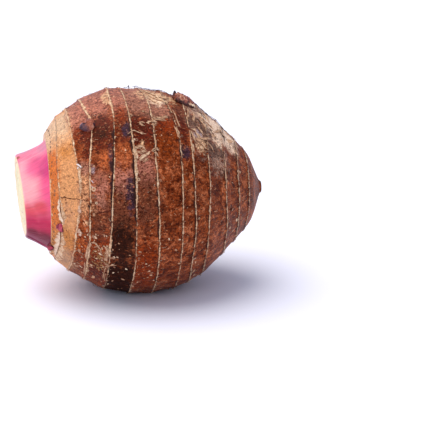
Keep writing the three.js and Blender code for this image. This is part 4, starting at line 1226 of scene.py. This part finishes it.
def drawPlaces(count, low, high, size, headings=(0, 360), turns=(0, 360)):
    # places drawn evenly over part of the skin, from low to high mm from the crown
    drawn = []
    while len(drawn) < count:
        mmAlong = rng.uniform(low, high)
        if rng.uniform() * widestRadius > radiusAt(np.array(mmAlong * mm), np.array(0.0)):
            continue
        drawn.append((mmAlong, rng.uniform(*turns), rng.uniform(*headings), rng.uniform(*size)))
    return drawn


def alongRings(rings, spacing, size, headings, side, keep):
    # places drawn along rings, spacing mm apart and side mm off them; keep is the share that stays
    drawn = []
    for ring in rings:
        middle = ringLines[ring].mean()
        around = 2 * math.pi * radiusAt(np.array(middle), np.array(1.0)) / mm
        for step in range(int(around / spacing)):
            angle = (step + rng.uniform(0, 1)) * 360 * spacing / around
            onRing = np.interp(angle % 360, degrees, ringLines[ring], period=360) / mm
            mmAlong = onRing + side + rng.normal(0, 0.25)
            if rng.uniform() < keep:
                drawn.append((mmAlong, angle % 360, rng.uniform(*headings), rng.uniform(*size)))
    return drawn


outlineHairs = [
    (50, 344, 20, 3.2), (50.6, 346, 160, 2.4), (53.5, 345, 60, 2.6), (57, 344, 200, 2.2),
    (86, 345, 330, 2.6), (94, 346, 10, 2.4), (110, 350, 40, 2.6), (30, 345, 10, 1.6), (22, 344, 200, 1.4),
]
hairPlaces = drawPlaces(420, 8, 122, (0.9, 2.4)) + outlineHairs
scatterPiece("root_hairs", hairShape(95, 0.075, 0.2), hairPlaces, darkFibre, tilt=0.3, spin=0.6, seed=3)
fibrePlaces = drawPlaces(260, 14, 120, (1.0, 2.6))
fibrePlaces += alongRings(range(2, 12), 2.2, (0.8, 2.0), (-50, 50), 0.1, 0.6)
scatterPiece("husk_fibres", hairShape(80, 0.07, 0.35), fibrePlaces, strawFibre, tilt=0.25, spin=0.6, seed=8)


def flakeShape():
    # a flake of papery husk one mm long, to be sized by the tree
    parts = newParts()
    leafSheet(
        parts, Matrix(), length=1.0, width=0.62, tilt=4, curl=22, cup=0.12, thick=0.09, blunt=3.0, tear=0.9,
        tone=(0, 1), rows=8, columns=7)
    return partsPiece("flake", parts)


handFlakes = [
    (26, 108, 90, 2.2), (24.5, 113, 40, 2.0), (82, 42, 30, 2.6), (84, 47, 80, 2.8), (92, 34, 20, 3.0),
    (99, 22, 0, 3.6), (103, 26, 330, 3.4),
]
loose = [place for place in drawPlaces(60, 60, 122, (1.0, 2.6)) if place[0] > 84 or 100 < place[1] < 350]
scatterPiece("husk_flakes", flakeShape(), handFlakes + loose, paperHusk, tilt=0.12, spin=0.4, seed=5)

# How a torn strip lies: its thickness and half width, how far it wanders, how torn its sides are, across and
# along them, how its edges curl up, and how far above the skin it stays. In mm, for a strip 1 mm wide.
strip = dict(
    thick=0.14, half=0.36, wander=0.45, wanderTurn=0.6, tornAcross=1.3, tornAlong=0.8, curl=0.5, above=0.08)


def addStrip(parts, path, width, tone):
    # a torn strip of husk laid over the skin along a path of (mm from the crown, degrees, mm off the skin),
    # ragged and with its edges curled up
    knots = np.array(path, float)
    t = np.linspace(0, len(knots) - 1, 6 * len(knots))
    places = np.stack([np.interp(t, np.arange(len(knots)), knots[:, i]) for i in range(3)], 1)
    places = blurred(places, 1.5, 0, "edge")
    spots = np.stack([t * 1.1, np.full(len(t), width * 7), np.full(len(t), path[0][0])], 1)
    places[:, 0] += strip["wander"] * min(width, 1) * noiseField(spots, 1.0)
    places[:, 1] += strip["wanderTurn"] * min(width, 1) * noiseField(spots, 0.9, 5.0)
    laid = [onSkin(*place[:2]) for place in places]
    centres, outs = (np.array([tuple(spot[i]) for spot in laid]) for i in (0, 1))
    centres = centres / mm
    ahead = np.gradient(centres, axis=0)
    ahead /= np.linalg.norm(ahead, axis=1, keepdims=True)
    v = np.linspace(0, 1, len(t))[:, None]
    u = np.linspace(-1, 1, 5)[None, :]
    taper = np.minimum(1, 4 * np.minimum(v, 1 - v) + 0.08)
    side = np.stack(np.broadcast_arrays(v * len(knots) * 2, np.sign(u) * 2.0, width + centres[0, 0]), -1)
    torn = 1 + strip["tornAcross"] * noiseField(side, 0.7) * (abs(u) > 0.6)
    torn = torn + strip["tornAlong"] * noiseField(side * [1, 0, 1], 1.3, 2.0)
    wide = strip["half"] * width * taper * u * np.maximum(torn, 0.15)
    lift = places[:, 2:] + strip["curl"] * abs(wide) * u ** 2 + strip["above"]
    across = np.cross(ahead, outs)[:, None]
    grid = centres[:, None] + across * wide[..., None] + outs[:, None] * lift[..., None]
    tones = tone - 0.3 * abs(u) ** 3 + 0.45 * noiseField(grid, 0.9, 5.0)
    addSheet(parts, grid, np.full(lift.shape, strip["thick"]), tones, Matrix())


# Strips of husk torn loose: (mm wide, tone from brown 0 to cream 1, path). A helper program worked out the mm
# and degrees of these 48 paths, so they aren't numbers chosen by hand.
strips = [
    (0.9, 0.75, [(52.8, 35, 0.1), (51.2, 35, 0.2), (50.2, 36, 0.3), (50.6, 37, 0.2), (52.2, 37, 0.1)]),
    (1.5, 0.70, [(53.5, 36, 0.1), (55.8, 35, 0.2), (58.1, 35, 0.2), (60.1, 35, 0.1)]),
    (0.8, 0.60, [(56.1, 37, 0.1), (57.9, 37, 0.2), (59.3, 36, 0.1)]),
    (1.2, 0.75, [(45.1, 52, 0.1), (46.3, 51, 0.2), (47.5, 51, 0.3), (49.2, 50, 0.3), (50.8, 51, 0.2),
     (51.7, 53, 0.1)]),
    (0.9, 0.65, [(51.7, 53, 0.1), (50.6, 53, 0.2), (48.3, 54, 0.2), (46.4, 53, 0.1)]),
    (1.6, 0.80, [(54.1, 53, 0.1), (52.1, 55, 0.3), (49.7, 56, 0.3), (47.4, 58, 0.1)]),
    (1.1, 0.60, [(52.7, 57, 0.1), (50.7, 58, 0.3), (49.5, 59, 0.1)]),
    (0.9, 0.60, [(44.4, 54, 0.1), (45.4, 56, 0.2), (45.8, 57, 0.1)]),
    (0.5, 0.75, [(42.3, 43, 0.1), (44.0, 42, 0.2), (46.3, 41, 0.3), (48.4, 42, 0.3), (50.5, 43, 0.2),
     (53.2, 43, 0.1)]),
    (0.5, 0.60, [(48.4, 42, 0.1), (50.1, 42, 0.3), (51.7, 42, 0.1)]),
    (0.7, 0.70, [(54.5, 53, 0.1), (56.7, 52, 0.2), (59.2, 52, 0.1)]),
    (0.9, 0.65, [(56.0, 54, 0.1), (57.4, 54, 0.2), (57.8, 56, 0.1)]),
    (0.9, 0.75, [(57.3, 32, 0.1), (60.7, 32, 0.2), (63.7, 31, 0.2), (66.7, 29, 0.1)]),
    (0.7, 0.60, [(58.3, 33, 0.1), (61.1, 33, 0.2), (65.3, 32, 0.1)]),
    (0.8, 0.60, [(59.7, 31, 0.1), (62.0, 31, 0.2), (65.0, 30, 0.1)]),
    (1.5, 0.95, [(55.1, 2, 0.1), (58.5, 3, 0.2), (61.5, 6, 0.2), (65.0, 9, 0.2), (68.7, 11, 0.1)]),
    (1.3, 0.85, [(57.4, 6, 0.1), (60.2, 11, 0.2), (63.3, 13, 0.2), (67.4, 16, 0.1)]),
    (1.2, 0.95, [(60.3, 2, 0.1), (62.8, 8, 0.2), (64.9, 14, 0.2), (68.5, 17, 0.1)]),
    (1.0, 0.75, [(57.8, 12, 0.1), (60.0, 16, 0.2), (63.6, 19, 0.1)]),
    (0.7, 0.50, [(51.0, 27, 0.1), (53.0, 26, 0.2), (55.1, 28, 0.1)]),
    (0.7, 0.60, [(44.7, 31, 0.1), (45.9, 30, 0.2), (46.7, 30, 0.1)]),
    (0.5, 0.90, [(14.4, 54, 0.2), (15.6, 56, 0.4), (17.6, 58, 0.2)]),
    (0.8, 0.50, [(70.0, 22, 0.1), (71.2, 30, 0.2), (72.6, 37, 0.1)]),
    (0.7, 0.60, [(69.2, 36, 0.1), (70.4, 40, 0.2), (71.1, 45, 0.1)]),
    (0.8, 0.60, [(79.6, 16, 0.1), (78.9, 23, 0.2), (78.2, 29, 0.1)]),
    (0.9, 0.70, [(19.9, 104, 0.1), (20.2, 107, 0.2), (18.9, 111, 0.2), (18.3, 117, 0.2), (18.1, 123, 0.1)]),
    (1.0, 0.70, [(20.4, 106, 0.1), (22.0, 105, 0.3), (23.6, 107, 0.3), (24.6, 109, 0.1)]),
    (0.6, 0.60, [(22.0, 109, 0.1), (23.6, 108, 0.2), (25.2, 109, 0.2), (25.7, 112, 0.1)]),
    (0.9, 0.70, [(26.7, 106, 0.1), (28.2, 107, 0.3), (29.1, 109, 0.3), (29.1, 113, 0.1)]),
    (1.6, 0.55, [(28.8, 109, 0.1), (28.9, 113, 0.2), (28.5, 118, 0.1)]),
    (1.1, 0.45, [(29.4, 113, 0.1), (31.6, 114, 0.2), (33.2, 114, 0.1)]),
    (0.8, 0.50, [(27.0, 119, 0.1), (28.6, 120, 0.2), (30.7, 120, 0.1)]),
    (0.5, 0.60, [(27.7, 123, 0.1), (30.7, 120, 0.2), (34.6, 120, 0.1)]),
    (0.9, 0.50, [(28.4, 122, 0.1), (28.1, 128, 0.2), (28.1, 138, 0.1)]),
    (0.8, 0.60, [(17.7, 126, 0.1), (18.0, 134, 0.2), (17.9, 146, 0.1)]),
    (1.3, 0.75, [(78.2, 38, 0.2), (79.4, 41, 0.4), (79.8, 44, 0.4), (81.4, 46, 0.2)]),
    (1.2, 0.80, [(79.1, 36, 0.2), (81.3, 37, 0.4), (82.7, 41, 0.4), (84.2, 43, 0.2)]),
    (1.0, 0.70, [(82.3, 38, 0.1), (84.3, 42, 0.3), (87.4, 41, 0.3), (90.9, 38, 0.1)]),
    (1.0, 0.80, [(85.9, 25, 0.1), (87.3, 28, 0.3), (88.6, 32, 0.1)]),
    (1.2, 0.85, [(88.0, 23, 0.1), (90.9, 24, 0.3), (93.9, 25, 0.1)]),
    (0.9, 0.70, [(83.1, 32, 0.1), (84.5, 35, 0.3), (86.0, 38, 0.1)]),
    (1.2, 0.80, [(89.5, 9, 0.1), (91.5, 12, 0.2), (92.4, 18, 0.1)]),
    (0.9, 0.70, [(86.1, 20, 0.1), (87.5, 23, 0.2), (89.3, 23, 0.1)]),
    (1.0, 0.75, [(83.3, 45, 0.1), (85.5, 47, 0.3), (87.1, 49, 0.1)]),
    (0.8, 0.70, [(87.0, 44, 0.1), (89.4, 45, 0.3), (91.1, 48, 0.1)]),
    (1.0, 0.80, [(78.3, 47, 0.1), (78.7, 49, 0.3), (78.3, 53, 0.1)]),
    (0.9, 0.75, [(93.3, 29, 0.1), (96.1, 26, 0.3), (100.4, 18, 0.1)]),
    (0.8, 0.70, [(82.7, 18, 0.1), (82.5, 24, 0.2), (81.2, 29, 0.1)]),
]
# Dark fibres that lie along the outline of the root end and stand off the top, and bleached tufts of fluff,
# whose near-white colour is also a painted glint.
darkStrips = [
    (1.0, 0.35, [(86, 350, 0.1), (91, 355, 0.2), (96, 358, 0.2), (100.5, 0, 0.2), (104.5, 2, 0.2),
     (107, 4, 0.1)]),
    (0.7, 0.4, [(47, 343, 0.1), (49, 345, 0.6), (50.5, 346, 1.6)]),
    (0.5, 0.4, [(50, 345, 0.1), (50, 346, 2.2)]),
    (0.7, 0.3, [(52, 345, 1.4), (55, 346, 0.8), (59, 347, 0.3), (64, 348, 0.1)]),
    (0.6, 0.4, [(56, 346, 0.2), (62, 348, 0.7), (68, 351, 0.2)]),
    (0.6, 0.5, [(63, 352, 0.1), (68, 355, 0.5), (72, 358, 0.1)]),
    (0.9, 0.3, [(83, 352, 0.1), (87, 354, 0.3), (92, 355, 0.1)]),
    (0.7, 0.35, [(95, 352, 0.2), (99, 356, 0.5), (103, 359, 0.2)]),
    (0.6, 0.3, [(84, 24, 0.1), (85.4, 28, 0.2), (85.8, 33, 0.1)]),
    (0.5, 0.35, [(91, 27, 0.1), (92.4, 32, 0.2), (95, 35, 0.1)]),
    (0.6, 0.3, [(97, 20, 0.1), (98.8, 25, 0.2), (100.5, 27, 0.1)]),
    (0.5, 0.3, [(86, 14, 0.1), (88, 17, 0.2), (91, 17, 0.1)]),
]
bleachedGlintStrips = [
    (0.7, 0.7, [(14.6, 55, 0.3), (15.6, 56, 0.6), (16.8, 58.5, 0.3)]),
    (0.4, 0.6, [(15.4, 57, 0.2), (14.9, 58.5, 0.5)]),
    (0.5, 0.4, [(21.6, 66.5, 0.2), (22.4, 68.5, 0.4)]),
    (0.35, 0.3, [(21.4, 70, 0.1), (22.1, 71, 0.3)]),
]
# Flaps of cream sheath skin by the lower buds.
creamStrips = [
    (3.2, 0.6, [(4.5, 77, 0.1), (4.2, 84, 0.2), (4.9, 90, 0.3), (5.8, 96, 0.1)]),
    (4.2, 0.5, [(3.6, 105, 0.1), (4.4, 110, 0.3), (3.8, 118, 0.3), (3.2, 131, 0.2), (2.6, 146, 0.1)]),
    (2.4, 0.3, [(14.9, 81, 0.1), (15.0, 84, 0.2), (15.1, 87, 0.1)]),
    (2.6, 0.3, [(14.5, 97, 0.1), (14.7, 100, 0.2), (15.2, 103, 0.1)]),
]


def stripPiece(name, made, material):
    # one piece from a list of strips
    parts = newParts()
    for width, tone, path in made:
        addStrip(parts, path, width, tone)
    piece = partsPiece(name, parts)
    paint(piece, "shade", parts["tones"])
    piece.data.materials.append(material)
    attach(piece, "root")
    print("laid", len(made), name)


# each strip has frayed into a few thin strands beside it
strands = [(0.28, tone, [(a + shift, d + 1.2 * shift, lift) for a, d, lift in path[skip:]])
           for k, (width, tone, path) in enumerate(strips) for shift, skip in ((0.5, k % 2), (-0.45, 1))
           if width > 0.6 and len(path[skip:]) > 1]
stripPiece("torn_strips", [(1.1 * width, tone, path) for width, tone, path in strips] + strands, paperHusk)
stripPiece("dark_strips", darkStrips, darkFibre)
creamSheath = fibreMaterial("creamSheath", ("#C08E70", "#E6C8AA", "#F8E8D4"), 0.65)
stripPiece("cream_strips", creamStrips, creamSheath)
# near-white fibre for the fluff, partly a painted glint
bleachedGlintFibre = fibreMaterial("bleachedGlintFibre", ("#CDB8B4", "#EFE2DF", "#FFFAF8"), 0.6)
stripPiece("bleached_strips", bleachedGlintStrips, bleachedGlintFibre)
handSpecks = [
    (14.7, 100, 0, 2.6), (22, 101, 40, 2.8), (14.3, 115, 90, 2.4), (13.6, 131, 0, 1.5),
    (23.1, 140, 90, 2.4), (22.1, 86, 70, 2.2), (34.5, 103, 10, 1.5), (40.7, 111, 0, 1.2),
    (39, 122, 60, 2.0), (37.5, 134, 0, 2.4), (14.6, 118, 30, 1.2), (53, 26, 80, 1.6),
]
handSpecks += drawPlaces(110, 12, 34, (0.7, 1.5), (0, 360), (96, 150))
handSpecks += drawPlaces(30, 44, 60, (0.8, 1.6), (0, 360), (108, 150))
handSpecks += drawPlaces(120, 20, 120, (0.6, 1.3))
scatterPiece("husk_specks", flakeShape(), handSpecks, paperHusk, tilt=0.12, spin=0.4, seed=15)


def rootScarShape():
    # the corky eye that a shed root leaves: a raised rim round a small pit, one mm across
    a = np.linspace(0, 2 * math.pi, 14, endpoint=False)[None, :]
    profile = np.array([(0.62, -0.2), (0.56, 0.05), (0.44, 0.13), (0.32, 0.08), (0.22, -0.06), (0.1, -0.1)])
    r, z = profile[:, :1], profile[:, 1:]
    grid = np.stack(np.broadcast_arrays(r * np.sin(a), r * np.cos(a), z), -1)
    parts = newParts()
    tones = np.linspace(0, 1, len(profile))[:, None]
    addTube(parts, grid, np.broadcast_to(tones, grid.shape[:2]), Matrix())
    return partsPiece("root_scar", parts)


handScars = [(22.4, 72, 0, 2.0), (22.2, 76, 0, 2.2), (23.5, 80, 0, 1.4)]
handScars += alongRings(range(5, 12), 26, (1.1, 1.9), (0, 360), 1.8, 0.4)
scatterPiece("root_scars", rootScarShape(), handScars, corkRim, tilt=0.08, spin=3.0, seed=4, sizeSpread=0.15)
# the row of sleeping roots that shows as dark dots just behind the stub, every 5 degrees
dots = [(1.3 + 0.5 * math.cos(math.radians(a - 20)) + rng.normal(0, 0.25), a + rng.normal(0, 0.8), 0,
         rng.uniform(0.7, 1.2)) for a in range(-20, 340, 5)]
scatterPiece("root_dots", rootScarShape(), dots, darkFibre, tilt=0.1, spin=3.0, seed=6, sizeSpread=0.15)

# The camera, the light and the floor: angles in degrees, places in metres.
stage = {
    "azimuth": -10,
    "elevation": 16,
    "distance": 850 * mm,
    "lens": 121.8,
    "aim": (42.7 * mm, 0, 41.4 * mm),
    "room": 0.6,
    "roomSeen": 1.2,
    "overhead": 2.85,
    "softness": 62,
    "from": (-0.36, 0.11, 0.93),
    "front": 1.2,
    "frontAt": (-0.55, -0.75, 0.55),
    "frontAim": (0, 0, 0.06),
    "frontSize": (0.7, 0.5),
    "floorReach": 6.0,
}


def makeCamera():
    # a long lens that looks at the corm from a little above
    a, e = math.radians(stage["azimuth"]), math.radians(stage["elevation"])
    back = Vector((math.sin(a) * math.cos(e), -math.cos(a) * math.cos(e), math.sin(e)))
    data = bpy.data.cameras.new("camera")
    data.sensor_width = 36
    data.lens = stage["lens"]
    camera = bpy.data.objects.new("camera", data)
    camera.rotation_mode = "QUATERNION"
    camera.location = Vector(stage["aim"]) + back * stage["distance"]
    camera.rotation_quaternion = (-back).to_track_quat("-Z", "Y")
    bpy.context.scene.collection.objects.link(camera)
    bpy.context.scene.camera = camera


def makeLight(name, place, size, power, aim):
    # a soft oblong lamp that faces aim
    data = bpy.data.lights.new(name, "AREA")
    data.shape = "RECTANGLE"
    data.size, data.size_y = size
    data.energy = power
    lamp = bpy.data.objects.new(name, data)
    lamp.location = place
    lamp.rotation_euler = (Vector(aim) - Vector(place)).to_track_quat("-Z", "Y").to_euler()
    bpy.context.scene.collection.objects.link(lamp)


def makeWorld():
    # an even pale room: it lights the corm softly, and behind the floor it looks white
    world = bpy.data.worlds.new("studio")
    bpy.context.scene.world = world
    world.use_nodes = True
    tree = world.node_tree
    background = tree.nodes["Background"]
    seen = addNode(tree, "ShaderNodeLightPath").outputs["Is Camera Ray"]
    colour = addNode(tree, "ShaderNodeMix", {0: seen, 6: "#E2E9FF", 7: "#FFFFFF"}, data_type="RGBA")
    tree.links.new(outputOf(colour), background.inputs["Color"])
    strength = addNode(tree, "ShaderNodeMapRange", {
        "Value": seen, "To Min": stage["room"], "To Max": stage["roomSeen"]})
    tree.links.new(outputOf(strength), background.inputs["Strength"])


def makeSun():
    # a very wide soft lamp far overhead, so that the whole floor is lit alike
    data = bpy.data.lights.new("overhead", "SUN")
    data.energy = stage["overhead"]
    data.angle = math.radians(stage["softness"])
    data.color = linear("#FFF8F0")[:3]
    lamp = bpy.data.objects.new("overhead", data)
    lamp.rotation_euler = Vector(stage["from"]).to_track_quat("Z", "Y").to_euler()
    bpy.context.scene.collection.objects.link(lamp)


makeCamera()
makeWorld()
makeSun()
bpy.context.scene.view_settings.view_transform = "Standard"
makeLight("front", stage["frontAt"], stage["frontSize"], stage["front"], stage["frontAim"])

reach = stage["floorReach"]
floorPoints = [(x, y, 0.0) for y in (reach, -reach) for x in (-reach, reach)]
floor = meshPiece("floor", floorPoints, gridFaces(2, 2, False))
# A pale laminate table top: even, matt and a little cool.
material, tree, shader = newMaterial("paleTable")
shader.inputs["Base Color"].default_value = linear("#F1F3FF")
shader.inputs["Roughness"].default_value = 0.7
shader.inputs["Specular IOR Level"].default_value = 0.15
floor.data.materials.append(material)
